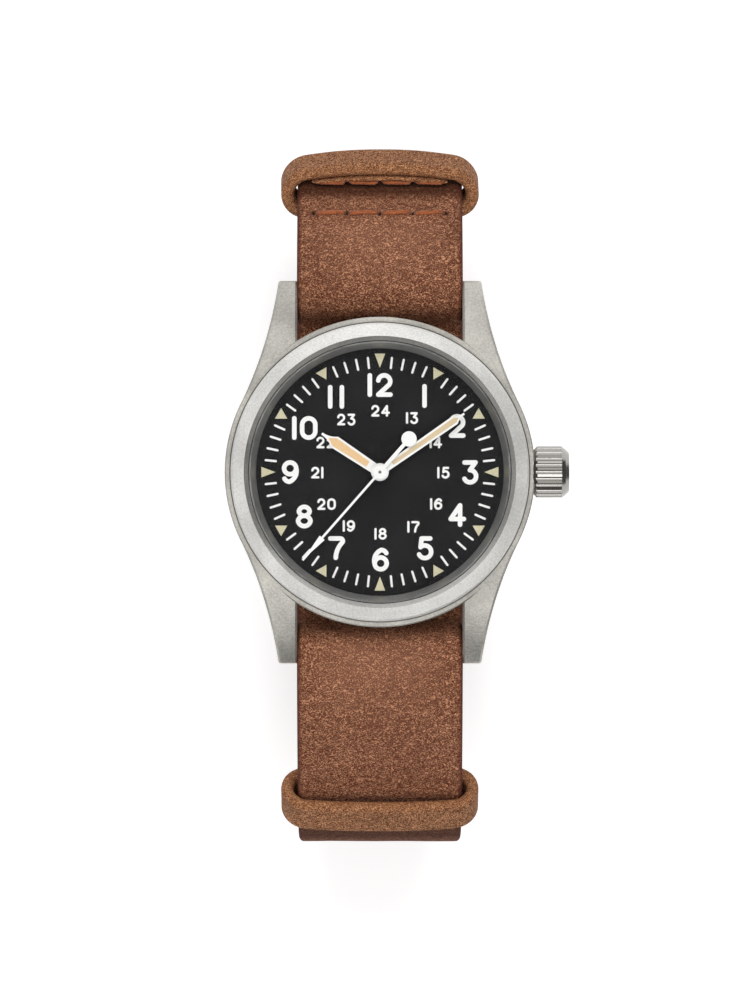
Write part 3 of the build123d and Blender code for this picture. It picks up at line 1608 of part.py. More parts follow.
pair_t = strap_t + layer_gap + under_t
pair_shift = (strap_t - pair_t) / 2
with BuildPart() as keeper_upper:
    y, z = polar(upper_keeper_angle, top_side_r + pair_shift)
    place = (top_side[0] + y, top_side[1] + z)
    keeper(place, upper_keeper_angle - 90, pair_t + 2 * keeper_play, keeper_l, keeper_bend_r)
keep("keeper_upper", keeper_upper)

with BuildPart() as keeper_lower:
    y, z = polar(180 - lower_keeper_angle, low_side_r + pair_shift)
    place = (y - low_side[0], low_side[1] + z)
    keeper(place, 90 - lower_keeper_angle, pair_t + 2 * keeper_play, lower_keeper_l, keeper_bend_r)
keep("keeper_lower", keeper_lower)

with BuildPart() as keeper_free:
    place = (keeper_free_y, (tail_z + inner_z) / 2)
    keeper(place, 0, 2 * strap_t + 3 * slip, keeper_l, keeper_free_bend_r)
keep("keeper_free", keeper_free)

# Buckle: a frame and a tongue on one bar
bar_place = (frame_bar_y, floor_z + frame_bar_r)
with BuildPart() as buckle_frame:
    for side in (-1, 1):
        with BuildSketch(Plane.YZ.offset(side * frame_inside / 2)):
            with BuildLine():
                CenterArc((pivot_y, pivot_z), frame_eye_r, 0, 360)
                CenterArc(bar_place, frame_bar_r, 0, 360)
            make_hull()
        extrude(amount=side * frame_arm_w)
    cross_bar(frame_bar_r, bar_place, -frame_inside / 2, frame_inside / 2)
    cross_bar(
        buckle_bar_r + running_play,
        (pivot_y, pivot_z),
        -frame_inside / 2 - frame_arm_w,
        frame_inside / 2 + frame_arm_w,
        Mode.SUBTRACT,
    )
    with BuildSketch(Plane.XY.offset(floor_z)):
        with Locations((0, frame_bar_y)):
            Rectangle(tongue_groove_w, 2 * frame_bar_r)
    extrude(amount=tongue_groove_deep, mode=Mode.SUBTRACT)
keep("buckle_frame", buckle_frame)

with BuildPart() as buckle_bar:
    half = frame_inside / 2 + frame_arm_w
    cross_bar(buckle_bar_r, (pivot_y, pivot_z), -half, half)
keep("buckle_bar", buckle_bar)

tongue_z = floor_z + tongue_low + tongue_t / 2
with BuildPart() as buckle_tongue:
    with BuildSketch(Plane.YZ):
        with BuildLine(mode=Mode.PRIVATE) as tongue_line:
            Polyline(
                (pivot_y, pivot_z),
                (tongue_bend_y, pivot_z),
                (tongue_drop_y, tongue_z),
                (tongue_tip_y, tongue_z),
            )
        add(Face(tongue_line.wire().offset_2d(tongue_t / 2)))
    extrude(amount=tongue_w / 2, both=True)
    cross_bar(tongue_eye_r, (pivot_y, pivot_z), -tongue_w / 2, tongue_w / 2)
    cross_bar(buckle_bar_r + running_play, (pivot_y, pivot_z), -tongue_w / 2, tongue_w / 2, Mode.SUBTRACT)
keep("buckle_tongue", buckle_tongue)


# Stitches: long threads that lie on the leather
def stitch_row(plane):
    """A row of stitches across the strap, on a plane that faces away from the leather."""
    with BuildSketch(plane) as row:
        with GridLocations(stitch_pitch, 0, stitch_count, 1):
            RectangleRounded(stitch_l, stitch_w, stitch_w * stitch_end_share)
    extrude(row.sketch, amount=stitch_t)


with BuildPart() as strap_stitches:
    for angle in stitch_angles:
        if angle > 90 - leave_angle - top_shoulder_turn:
            centre, radius = top_shoulder, top_shoulder_r
        else:
            centre, radius = top_side, top_side_r
        y, z = polar(angle, radius + strap_t / 2)
        stitch_row(strap_plane(centre[0] + y, centre[1] + z, angle))
    stitch_row(strap_plane(fold_end - fold_stitch_from_end, inner_z + strap_t * 3 / 2 + slip, 90))
keep("strap_stitches", strap_stitches)
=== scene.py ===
# A field watch on its closed leather strap: finishes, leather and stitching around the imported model.
# Lengths in the dictionaries are millimetres; meshes are written in metres.
import json
from math import ceil, radians

import bmesh
import bpy
import numpy as np
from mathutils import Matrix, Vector


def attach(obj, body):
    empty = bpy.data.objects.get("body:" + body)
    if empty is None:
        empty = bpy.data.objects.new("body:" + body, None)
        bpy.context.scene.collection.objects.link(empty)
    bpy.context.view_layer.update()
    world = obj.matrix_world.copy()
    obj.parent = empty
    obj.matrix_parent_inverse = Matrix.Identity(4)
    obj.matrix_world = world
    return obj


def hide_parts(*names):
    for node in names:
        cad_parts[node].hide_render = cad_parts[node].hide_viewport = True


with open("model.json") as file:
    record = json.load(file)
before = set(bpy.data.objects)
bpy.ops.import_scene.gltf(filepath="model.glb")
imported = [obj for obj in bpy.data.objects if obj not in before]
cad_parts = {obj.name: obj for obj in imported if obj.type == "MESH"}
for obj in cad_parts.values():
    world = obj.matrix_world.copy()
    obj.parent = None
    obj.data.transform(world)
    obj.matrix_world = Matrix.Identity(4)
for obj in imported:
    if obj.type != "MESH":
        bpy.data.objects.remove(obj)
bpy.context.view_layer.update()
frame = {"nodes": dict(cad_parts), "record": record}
nodes = frame["nodes"]
print("frame loaded:", len(nodes), "nodes")

mm = 0.001
scene = bpy.context.scene


# small tools for meshes
def turnVector(angle):
    # unit vectors in the plane seen from the crown: (cosine, sine) of an array of angles
    return np.stack([np.cos(angle), np.sin(angle)], axis=-1)


def walkRoute(start, heading, pieces, step):
    # A line made of straights (length, 0) and bends (radius, turn): along a straight the place grows by
    # length times the heading, and on a bend it is the centre plus the radius turned with the heading.
    place, angle = np.array(start, float), radians(heading)
    places, angles = [place[None]], [np.array([angle])]
    for size, turn in pieces:
        bend = radians(turn)
        share = np.arange(1, ceil((abs(bend) * size if turn else size) / step) + 1)
        share = share / len(share)
        if turn:
            side = np.sign(turn) * size
            centre = place + side * turnVector(angle + np.pi / 2)
            now = angle + bend * share
            run = centre - side * turnVector(now + np.pi / 2)
        else:
            now = np.full(len(share), angle)
            run = place + share[:, None] * size * turnVector(angle)
        places.append(run)
        angles.append(now)
        place, angle = run[-1], now[-1]
    return np.concatenate(places), np.concatenate(angles)


def bothWays(first, second):
    # one line out of two that start at the same place and leave it in opposite directions
    places = np.concatenate([second[0][::-1], first[0][1:]])
    angles = np.concatenate([second[1][::-1] - np.pi, first[1][1:]])
    return places, angles


def alongLine(places):
    # the length walked up to each point of a line: the running sum of its steps
    steps = np.linalg.norm(np.diff(places, axis=0), axis=1)
    return np.concatenate([[0], np.cumsum(steps)])


def ripple(a, b, seed):
    # a smooth uneven surface between -1 and 1: the mean of sine waves with drawn directions
    draw, waves = np.random.default_rng(seed), 6
    total = np.zeros(np.broadcast(a, b).shape)
    for wave in range(waves):
        way, phase, pitch = draw.uniform(0, 2 * np.pi), draw.uniform(0, 2 * np.pi), draw.uniform(0.5, 1.9)
        total = total + np.sin(pitch * (a * np.cos(way) + b * np.sin(way)) + phase)
    return total / waves


def gridMesh(name, places, attributes, closeRows=False):
    # a grid of places in millimetres, closed over its columns, each cell a quad; doubles are merged, so a
    # row that is drawn together into a line closes the end, and the normals are then turned outwards
    rows, columns = places.shape[:2]
    index = np.arange(rows * columns).reshape(rows, columns)
    below = np.roll(index, -1, axis=0) if closeRows else index[1:]
    here = index if closeRows else index[:-1]
    quads = np.stack([here, np.roll(here, -1, 1), np.roll(below, -1, 1), below], axis=-1)
    mesh = bpy.data.meshes.new(name)
    mesh.from_pydata((places.reshape(-1, 3) * mm).tolist(), [], quads.reshape(-1, 4).tolist())
    for label, values in attributes:
        layer = mesh.attributes.new(label, "FLOAT", "POINT")
        layer.data.foreach_set("value", np.broadcast_to(values, (rows, columns)).astype(np.float32).ravel())
    return finishMesh(mesh)


def finishMesh(mesh):
    shell = bmesh.new()
    shell.from_mesh(mesh)
    bmesh.ops.remove_doubles(shell, verts=shell.verts, dist=2e-7)
    bmesh.ops.recalc_face_normals(shell, faces=shell.faces)
    for face in shell.faces:
        face.smooth = True
    shell.to_mesh(mesh)
    shell.free()
    return mesh


def addPiece(name, mesh, body, replaced=()):
    piece = bpy.data.objects.new(name, mesh)
    scene.collection.objects.link(piece)
    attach(piece, body)
    if replaced:
        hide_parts(*replaced)
    return piece


strap = {
    "width": 20.4,
    "thick": 1.6,
    "underThick": 1.2,
    "underEdge": 0.5,
    "underWave": 0.03,
    "underSeed": 9,
    "layerGap": 0.1,
    "edge": 0.6,            # how far the burnished round of the edge reaches in
    "step": 0.6,            # length of a cell along the strap
    "across": 30,           # cells over the width
    "wave": 0.05,           # unevenness of the leather's face
    "wavePitch": (0.8, 0.5),    # how fast it changes along the strap and over its width
    "calmReach": 1.2,       # the face evens out this near to an edge
    "calmShare": 0.3,       # unevenness left at the edge itself
    "seed": 4,
    "burnish": 0.9,         # share of the edge that is burnished
    "burnishPower": 0.7,
    "wornHalf": 8.0,        # half the width of the painted highlight
    "holeShade": (5, 0.3),  # painted shade that deepens with a stitch hole's depth, and what is taken off it
    "fineReach": 0.8,       # finer cells this far round a stitch hole
    "fineCells": 13,
    "endRows": 5,           # rows that round an end, and rows that draw in a tip
    "tipRows": 14,
    "tailTip": 7.0,         # rounding of the tail's corners
    "barPlace": (21.6, 4.7),
    "wrap": 1.6,            # the leather's middle round a bar
    "rise": (2.6, 60),      # bend up from below the case: radius and turn
    "leave": 10,            # slope on leaving the bar
    "loopFloor": -47.8,
    "loopWall": 1.2,        # thickness of what lies below the tail
    "frameBar": 1.2,
    "pivotPlace": -3.0,
    "foldBend": 2.5,
    "foldTurn": 35,
    "foldFlat": 2.2,
    "stepPlay": 0.15,       # room between the buckle's bar and the leather on it
    "stepStart": -11.0,
    "stepBend": 6.0,
    "tailTurn": 50,
}
shoulders = {
    "top": {"bend": 20.6, "turn": 45, "side": 16.0, "heel": 22.0, "blend": 6.0, "underEnd": 17},
    "low": {"bend": 31.5, "turn": 40, "side": 22.3, "heel": 24.0, "blend": 12.0, "underEnd": 27},
}
flatHeight = strap["underThick"] + strap["layerGap"] + strap["thick"] / 2
underHeight = strap["underThick"] / 2
tailHeight = strap["loopFloor"] + strap["loopWall"] + strap["layerGap"] + strap["thick"] / 2
innerHeight = tailHeight + strap["thick"] + strap["layerGap"]
stepHeight = strap["loopFloor"] + 2 * strap["frameBar"] + strap["stepPlay"] + strap["thick"] / 2


def turned(angle):
    # cosine and sine of an angle in degrees
    return np.cos(radians(angle)), np.sin(radians(angle))


def settleShoulder(way):
    # the centres of the two bends that carry the leather from the bar down to the side
    c, s = turned(strap["leave"])
    c2, s2 = turned(strap["leave"] + way["turn"])
    y = strap["barPlace"][0] + strap["wrap"] * s - way["bend"] * s
    z = strap["barPlace"][1] + strap["wrap"] * c - way["bend"] * c
    apart = way["bend"] - way["side"]
    way["centre"] = (y, z)
    way["sideCentre"] = (y + apart * s2, z + apart * c2)


for way in shoulders.values():
    settleShoulder(way)
topSide, lowSide = shoulders["top"], shoulders["low"]
for way, height in ((topSide, innerHeight), (lowSide, stepHeight)):
    way["heelCentre"] = (way["sideCentre"][0] + way["side"] - way["heel"], height + way["heel"])


def startRoute(way):
    # from the middle below the case up over the bar and down to the side, as straights and bends
    bend, turn = strap["rise"]
    c, s = turned(turn)
    rise = strap["barPlace"][1] + strap["wrap"] * c - flatHeight
    slope = (rise - bend * (1 - c)) / s
    start = strap["barPlace"][0] - (strap["wrap"] + bend) * s - slope * c
    return [(start, 0), (bend, turn), (slope, 0), (strap["wrap"], -turn - strap["leave"]),
            (way["bend"], -way["turn"]), (way["side"], strap["leave"] + way["turn"] - 90),
            (way["sideCentre"][1] - way["heelCentre"][1], 0), (way["heel"], -90)]


def underRoute(way):
    # the under strap: flat below the case, a blend up, then close inside the main strap
    inset = strap["thick"] / 2 + strap["layerGap"] + underHeight
    reach = way["bend"] - inset - way["blend"]
    rise = underHeight - way["blend"] - way["centre"][1]
    level = np.sqrt(reach ** 2 - rise ** 2)
    turn = np.degrees(np.arctan2(level, rise))
    return [(way["centre"][0] + level, 0), (way["blend"], -turn),
            (way["bend"] - inset, turn - strap["leave"] - way["turn"]),
            (way["side"] - inset, way["underEnd"] + strap["leave"] + way["turn"] - 90)]


def mirrored(route):
    return [(size, -turn) for size, turn in route]


c, s = turned(strap["foldTurn"])
foldDrop = strap["wrap"] * c + strap["wrap"] - strap["thick"] - strap["layerGap"]
foldSlope = (foldDrop - strap["foldBend"] * (1 - c)) / s
foldEnd = (strap["pivotPlace"] + (strap["wrap"] + strap["foldBend"]) * s + foldSlope * c
           + strap["foldFlat"])
stepTurn = np.degrees(np.arccos(1 - (stepHeight - tailHeight) / (2 * strap["stepBend"])))
stepEnd = strap["stepStart"] + 2 * strap["stepBend"] * np.sin(radians(stepTurn))
topRoute = startRoute(topSide) + [(topSide["heelCentre"][0] - strap["pivotPlace"], 0),
                              (strap["wrap"], -180 - strap["foldTurn"]), (foldSlope, 0),
                              (strap["foldBend"], strap["foldTurn"]), (strap["foldFlat"], 0)]
lowRoute = mirrored(startRoute(lowSide)) + [
    (lowSide["heelCentre"][0] + strap["stepStart"], 0), (strap["stepBend"], -stepTurn),
    (strap["stepBend"], stepTurn), (topSide["heelCentre"][0] - stepEnd, 0),
    (topSide["heel"] + strap["thick"] + strap["layerGap"], strap["tailTurn"])]


def bandSection(width, thick, edge, across, around=7, fine=()):
    # Outline of a band seen along its length: two flats joined by bull-nosed edges. An edge is a quarter
    # and a quarter of an ellipse, edge wide and half the thickness high. Fine adds places to the flats.
    flat = np.unique(np.round(np.append(np.linspace(-1, 1, across + 1) * (width / 2 - edge), fine), 3))
    turn = np.linspace(np.pi / 2, -np.pi / 2, around + 2)[1:-1]
    x = np.concatenate([flat, width / 2 - edge + edge * np.cos(turn), flat[::-1],
                        -width / 2 + edge - edge * np.cos(turn)])
    m = np.concatenate([np.full(len(flat), 0.5), np.sin(turn) / 2, np.full(len(flat), -0.5),
                        -np.sin(turn) / 2]) * thick
    return x, m


def layBand(name, line, width, thick, edge, across, wave, seed, tips=(0, 0), puckers=(), shade=None):
    # A leather band carried along its line: each point of the section is the line's place, plus its share
    # of the thickness along the line's normal. Both ends shrink to a round edge, and a tip of a given
    # radius draws the width in by the circle of that radius. A pucker sinks the outer face by its depth
    # times e to minus the distance squared over twice its size squared.
    places, angles = line
    run = np.round(alongLine(places), 4)
    total = run[-1]
    ends = thick / 2 * (1 - np.cos(np.linspace(0, np.pi / 2, strap["endRows"])[1:]))
    tipTurn = np.linspace(0, np.pi / 2, strap["tipRows"])[1:]
    tipRows = [reach * (1 - np.cos(tipTurn)) for reach in tips]
    spots = np.linspace(-strap["fineReach"], strap["fineReach"], strap["fineCells"])
    fineRuns = [pucker[0] + spots for pucker in puckers]
    fine = np.concatenate([pucker[1] + spots for pucker in puckers]) if puckers else ()
    extra = np.concatenate([ends, total - ends, tipRows[0], total - tipRows[1]] + fineRuns)
    along = np.unique(np.round(np.clip(np.concatenate([run, extra]), 0, total), 4))
    at = np.stack([np.interp(along, run, places[:, 0]), np.interp(along, run, places[:, 1])], axis=1)
    heading = np.interp(along, run, angles)
    normal = turnVector(heading + np.pi / 2)
    near = np.minimum(along, total - along)
    swell = np.sqrt(np.clip(1 - (1 - np.clip(near / (thick / 2), 0, 1)) ** 2, 0, 1))
    x, m = bandSection(width, thick, edge, across, fine=fine)
    wide = np.ones(len(along))
    for reach, gap in zip(tips, (along, total - along)):
        if reach:
            inside = np.clip(gap / reach, 0, 1)
            drawn = width / 2 - reach + reach * np.sqrt(np.clip(1 - (1 - inside) ** 2, 0, 1))
            wide = np.minimum(wide, drawn / (width / 2))
    across2, thick2 = x[None] * wide[:, None], m[None] * swell[:, None]
    face = np.clip(np.abs(m) / (thick / 2), 0, 1) ** 4 * np.sign(m)
    pitch, left = strap["wavePitch"], strap["calmShare"]
    inner = left + (1 - left) * np.clip((width / 2 - np.abs(x)) / strap["calmReach"], 0, 1)
    height = ripple(along[:, None] * pitch[0], x[None] * pitch[1], seed) * wave * inner * swell[:, None]
    hollow = np.zeros_like(across2)
    for s, px, deep, size in puckers:
        far = (along[:, None] - s) ** 2 + (across2 - px) ** 2
        hollow = np.maximum(hollow, deep * np.exp(-far / (2 * size ** 2)))
    bend = thick2 + height - hollow * (face > 0.5)
    points = np.stack([across2, at[:, :1] + bend * normal[:, :1], at[:, 1:] + bend * normal[:, 1:]], axis=-1)
    burnt = edge * strap["burnish"]
    rim = np.clip(1 - (width / 2 - np.abs(x)) / burnt, 0, 1) ** strap["burnishPower"]
    tipRim = np.clip(1 - near / burnt, 0, 1)[:, None]
    # painted shade and painted highlight along the strap, from their stops
    dark, worn = (np.interp(along, *share) for share in shade or [((0, 1), (0, 0))] * 2)
    gain, off = strap["holeShade"]
    # painted shade in the stitch holes
    dark = np.maximum(dark[:, None], np.clip(hollow * gain - off, 0, 1) * (face > 0.5))
    # the painted highlight is strongest over the middle of the width
    middle = np.exp(-(x[None] / strap["wornHalf"]) ** 4)
    return gridMesh(name, points, [("rim", np.maximum(rim[None], tipRim)), ("dark", dark),
                                   ("worn", worn[:, None] * middle)])


strapLine = bothWays(walkRoute((0, flatHeight), 0, topRoute, strap["step"]),
                     walkRoute((0, flatHeight), 180, lowRoute, strap["step"]))
underLine = bothWays(walkRoute((0, underHeight), 0, underRoute(topSide), strap["step"]),
                     walkRoute((0, underHeight), 180, mirrored(underRoute(lowSide)), strap["step"]))

stitches = {
    "count": 4,
    "length": 3.95,
    "pitch": 4.07,
    "radius": 0.3,
    "rise": 0.14,           # height of a stitch's middle above the leather
    "slant": 0.12,          # how far an end lies ahead of the other
    "angle": 50.2,          # place of the row on the top shoulder
    "foldInset": 0.9,
    "lapInset": 0.25,       # row of the upper keeper's lap, from the lap's near edge
    "lapAt": 4.0,           # place across where the lap's height is taken for it
    "lapSink": 0.02,
    "holeDeep": 0.34,       # depth and size of the pucker at each hole
    "holeSize": 0.24,
    "dip": 0.62,            # how far the ends sink, and the powers that keep the middle level and round
    "dipPower": 9,
    "endPower": 14,
    "sunkPower": 6,         # how soon the painted shade darkens the thread towards its ends
    "twist": 7.5,           # half turns of the strands over a stitch
    "twistStep": 1.3,       # and their offset from one stitch to the next
    "strands": (0.74, 0.3),     # radius between the strands, and what a strand adds
    "flat": 0.85,           # height for its width
    "cells": (33, 16),      # cells along a stitch and round it
}


def onLine(line, y, z):
    # the length along a line at its point nearest to a place
    far = np.hypot(line[0][:, 0] - y, line[0][:, 1] - z)
    return alongLine(line[0])[np.argmin(far)]


def besideLine(centre, radius, angle):
    # a place on a circle in the plane seen from the crown, and the direction that it faces
    out = turnVector(radians(angle))
    return np.array(centre) + radius * out, out


halfLeather = strap["thick"] / 2
stitchRows = [besideLine(topSide["centre"], topSide["bend"] + halfLeather, stitches["angle"])]
stitchRows.append((np.array([foldEnd - stitches["foldInset"], innerHeight + strap["thick"] * 1.5
                             + strap["layerGap"]]), np.array([0.0, 1.0])))
holeXs = [(hole - stitches["count"] / 2) * stitches["pitch"] for hole in range(stitches["count"] + 1)]
place, out = stitchRows[0]
seam = onLine(strapLine, *(place - halfLeather * out))
puckers = [(seam, px, stitches["holeDeep"], stitches["holeSize"]) for px in holeXs]


def alongShade(stops):
    # lengths along the strap and shares there, from places given by their Y and Z
    found = sorted((onLine(strapLine, y, z), share) for y, z, share in stops)
    return np.array(found).T


# painted shade and painted highlight of the strap as Y, Z and share: painted shade where keepers and case
# shade it, and a painted highlight that pales it where it faces the light
paintedShadeStops = [(19.0, 3.5, 0.0), (21.0, 6.2, 0.1), (24.5, 5.6, 0.0), (32.9, 0.6, 0.0), (34.1, -0.8, 0.8),
             (36.2, -4.2, 0.7), (37.6, -7.5, 0.0), (39.0, -16.0, 0.0),
             (-19.0, 3.5, 0.0), (-38.0, -2.0, 0.0), (-42.4, -6.3, 0.0), (-43.6, -8.2, 0.7),
             (-45.6, -12.0, 0.8), (-45.8, -20.0, 0.0)]
paintedSheenStops = [(21.5, 6.3, 0.0), (25.5, 5.2, 0.45), (29.0, 3.7, 0.7), (32.0, 1.3, 0.3), (35.0, -3.0, 0.0),
             (-19.4, 5.6, 0.0), (-21.4, 6.3, 0.8), (-25.0, 5.7, 0.75), (-30.0, 4.0, 0.25),
             (-38.0, -2.0, 0.0)]
strapMesh = layBand("strapLeather", strapLine, strap["width"], strap["thick"], strap["edge"],
                    strap["across"], strap["wave"], strap["seed"], tips=(strap["tailTip"], 0),
                    puckers=puckers, shade=[alongShade(paintedShadeStops), alongShade(paintedSheenStops)])
strapPiece = addPiece("strapLeather", strapMesh, "watch", ["strap_main"])
underMesh = layBand("underLeather", underLine, strap["width"], strap["underThick"], strap["underEdge"],
                    strap["across"], strap["underWave"], strap["underSeed"])
underPiece = addPiece("underLeather", underMesh, "watch", ["under_strap"])

# holes of the tail and the slot of the fold, cut through the leather as in the real strap
holes = {
    "width": 2.2,
    "length": 3.4,
    "places": [-21.5, -14.5, -0.5, 6.5, 13.5],
    "pinPlace": -7.2,
    "pinLength": 4.4,
    "foldWidth": 2.6,
    "foldSpan": (-8.0, -0.4),
    "floor": -48.2,
    "tailTop": -44.85,
    "pivotTop": -41.0,
    "foldTop": -38.0,
    "cells": 13,            # points on each half circle
}


def slotPrism(middle, wide, length, low, high):
    # a capsule outline, two half circles a length apart, carried up between two heights
    half = length / 2 - wide / 2
    turn = np.linspace(0, np.pi, holes["cells"])
    x = np.concatenate([np.cos(turn), np.cos(turn + np.pi)]) * wide / 2
    y = np.concatenate([np.sin(turn) * wide / 2 + half, np.sin(turn + np.pi) * wide / 2 - half]) + middle
    base = np.stack([x, y, np.full_like(x, low)], axis=-1)
    return base, base + np.array([0, 0, high - low])


tailSlots = []
for middle in holes["places"]:
    top = holes["pivotTop"] if middle < holes["pinPlace"] else holes["tailTop"]
    tailSlots.append(slotPrism(middle, holes["width"], holes["length"], holes["floor"], top))
tailSlots.append(slotPrism(holes["pinPlace"], holes["width"], holes["pinLength"], holes["floor"],
                           holes["pivotTop"]))
foldFrom, foldTo = holes["foldSpan"]
foldSlot = slotPrism((foldFrom + foldTo) / 2, holes["foldWidth"], foldTo - foldFrom, holes["tailTop"],
                     holes["foldTop"])


def cutPrisms(piece, prisms):
    # the prisms are one closed cutter, taken out of the piece with an exact boolean, which is then applied
    cutter = bmesh.new()
    for base, top in prisms:
        low = [cutter.verts.new(Vector(p) * mm) for p in base.tolist()]
        high = [cutter.verts.new(Vector(p) * mm) for p in top.tolist()]
        cutter.faces.new(low[::-1])
        cutter.faces.new(high)
        for a in range(len(low)):
            b = (a + 1) % len(low)
            cutter.faces.new([low[a], low[b], high[b], high[a]])
    bmesh.ops.recalc_face_normals(cutter, faces=cutter.faces)
    mesh = bpy.data.meshes.new("slotCutter")
    cutter.to_mesh(mesh)
    cutter.free()
    tool = bpy.data.objects.new("slotCutter", mesh)
    scene.collection.objects.link(tool)
    change = piece.modifiers.new("slots", "BOOLEAN")
    change.operation = "DIFFERENCE"
    change.solver = "EXACT"
    change.object = tool
    bpy.context.view_layer.update()
    cut = bpy.data.meshes.new_from_object(piece.evaluated_get(bpy.context.evaluated_depsgraph_get()))
    piece.modifiers.clear()
    piece.data = cut
    bpy.data.objects.remove(tool)
    bpy.data.meshes.remove(mesh)


cutPrisms(strapPiece, tailSlots)
cutPrisms(strapPiece, [foldSlot])
print("strap laid:", len(strapPiece.data.vertices), "vertices")

keepers = {
    "outside": 12.3,        # half its width
    "bend": 2.28,           # bend of the ends, at the middle of the wall
    "edge": 0.48,           # reach of the rounded rim, for each millimetre of wall
    "rimReach": 0.7,        # reach of the rim's colour
    "wallShare": 0.96,      # share of the wall and of the length that the unevenness starts from
    "lengthShare": 0.985,
    "wave": 0.05,           # unevenness of the outer face and of both rims, and its pace round the loop
    "rimWave": 0.07,
    "wavePace": 6,
    "rimPace": 5,
    "overPace": 0.4,        # its pace over the keeper's length
    "waveFrom": -0.2,       # height in the wall from which the face is uneven
    "step": 0.35,           # cells of the loop, before they are evened out
    "cells": 200,
    "across": 12,
    "pairShift": -0.65,     # middle of the two layers, from the main strap's middle
    "upper": {"angle": 30, "length": 5.0, "bow": 1.25, "wall": 1.7, "inside": 3.1},
    "lower": {"angle": 141.6, "length": 5.2, "bow": 0.65, "wall": 1.6, "inside": 3.1},
    "free": {"along": 8.3, "length": 5.0, "bow": 0.0, "wall": 1.2, "inside": 3.5},
}


def keeperPlace(kind):
    # the loop's centre and the direction away from the wrist, on the side's bend or on the tail
    if kind == "free":
        return np.array([keepers[kind]["along"], (tailHeight + innerHeight) / 2]), 90.0
    way, side = (topSide, 1) if kind == "upper" else (lowSide, -1)
    centre, angle = (side * way["sideCentre"][0], way["sideCentre"][1]), keepers[kind]["angle"]
    return besideLine(centre, way["side"] + keepers["pairShift"], angle)[0], angle


def roundedLoop(halfWide, halfHigh, bend, bow, count):
    # A rectangle with round ends, walked at an even pace: places and outward directions. Its outer side
    # bows by the bow times one minus the square of the place across, and directions turn with it.
    pieces = [(2 * (halfWide - bend), 0), (bend, 90), (2 * (halfHigh - bend), 0), (bend, 90)] * 2
    places = walkRoute((-halfWide + bend, -halfHigh), 0, pieces, keepers["step"])[0]
    places = places + np.stack([0 * places[:, 0], bow * np.clip(places[:, 1] / halfHigh, 0, 1)
                                * (1 - (places[:, 0] / halfWide) ** 2)], axis=1)
    run = alongLine(places)
    even = np.linspace(0, run[-1], count, endpoint=False)
    at = np.stack([np.interp(even, run, places[:, 0]), np.interp(even, run, places[:, 1])], axis=1)
    step = np.roll(at, -1, axis=0) - np.roll(at, 1, axis=0)
    return at, np.arctan2(step[:, 1], step[:, 0]) - np.pi / 2


def inKeeper(kind, across, along, high):
    # turns places across, along the strap and away from the wrist in a keeper into the object's places
    centre, angle = keeperPlace(kind)
    way, up = turnVector(radians(angle - 90)), turnVector(radians(angle))
    return np.stack([across + 0 * high, centre[0] + along * way[0] + high * up[0],
                     centre[1] + along * way[1] + high * up[1]], axis=-1)


def layKeeper(name, kind, seed, body, replaced):
    # a leather loop: the section of a band, its length along the strap, carried round a rounded rectangle
    place, wall, count = keepers[kind], keepers[kind]["wall"], keepers["cells"]
    loop, facing = roundedLoop(keepers["outside"] - wall / 2, (place["inside"] + wall) / 2,
                               keepers["bend"], place["bow"], count)
    out = turnVector(facing)
    b, a = bandSection(place["length"], wall, wall * keepers["edge"], keepers["across"])
    turn = np.arange(count)[:, None] * 2 * np.pi / count
    wave = ripple(keepers["wavePace"] * np.sin(turn), b[None] * keepers["overPace"], seed)
    rimWave = ripple(keepers["rimPace"] * np.cos(turn), 0 * b[None], seed + 1) * keepers["rimWave"]
    wave = wave * keepers["wave"] * (a[None] > keepers["waveFrom"])
    a2 = a[None] * keepers["wallShare"] + wave
    b2 = b[None] * keepers["lengthShare"] + rimWave
    x = loop[:, :1] + a2 * out[:, :1]
    high = loop[:, 1:] + a2 * out[:, 1:]
    rim = np.clip(1 - (place["length"] / 2 - np.abs(b)) / keepers["rimReach"], 0, 1)
    mesh = gridMesh(name, inKeeper(kind, x, b2, high), [("rim", rim[None])], closeRows=True)
    return addPiece(name, mesh, body, [replaced])


upperKeeper = layKeeper("keeperUpperLeather", "upper", 21, "watch", "keeper_upper")
lowerKeeper = layKeeper("keeperLowerLeather", "lower", 25, "watch", "keeper_lower")
freeKeeper = layKeeper("keeperFreeLeather", "free", 29, "free_keeper", "keeper_free")

lap = {
    "half": 8.4,            # half its width across the strap
    "thick": 0.5,
    "from": -2.62,          # its near edge and its far edge along the strap
    "to": 1.6,
    "gap": 0.02,
    "edge": 0.3,
    "across": 8,
    "cells": 60,
    "taperPower": 8,        # how late the thickness fades towards the ends
    "narrow": 0.06,         # share of the length lost at the ends
    "uneven": 0.1,          # unevenness of the near edge, and its pace across
    "unevenPace": 1.3,
    "seed": 41,
    "rimFrom": 1.5,         # where the paler rim starts, from the middle, and its strength
    "rimShare": 0.4,
}


def lapTop(across):
    # inner face of the upper keeper's bowed side, where the lap lies
    place = keepers["upper"]
    bow = place["bow"] * (1 - (across / (keepers["outside"] - place["wall"] / 2)) ** 2)
    return place["inside"] / 2 + bow - lap["gap"]


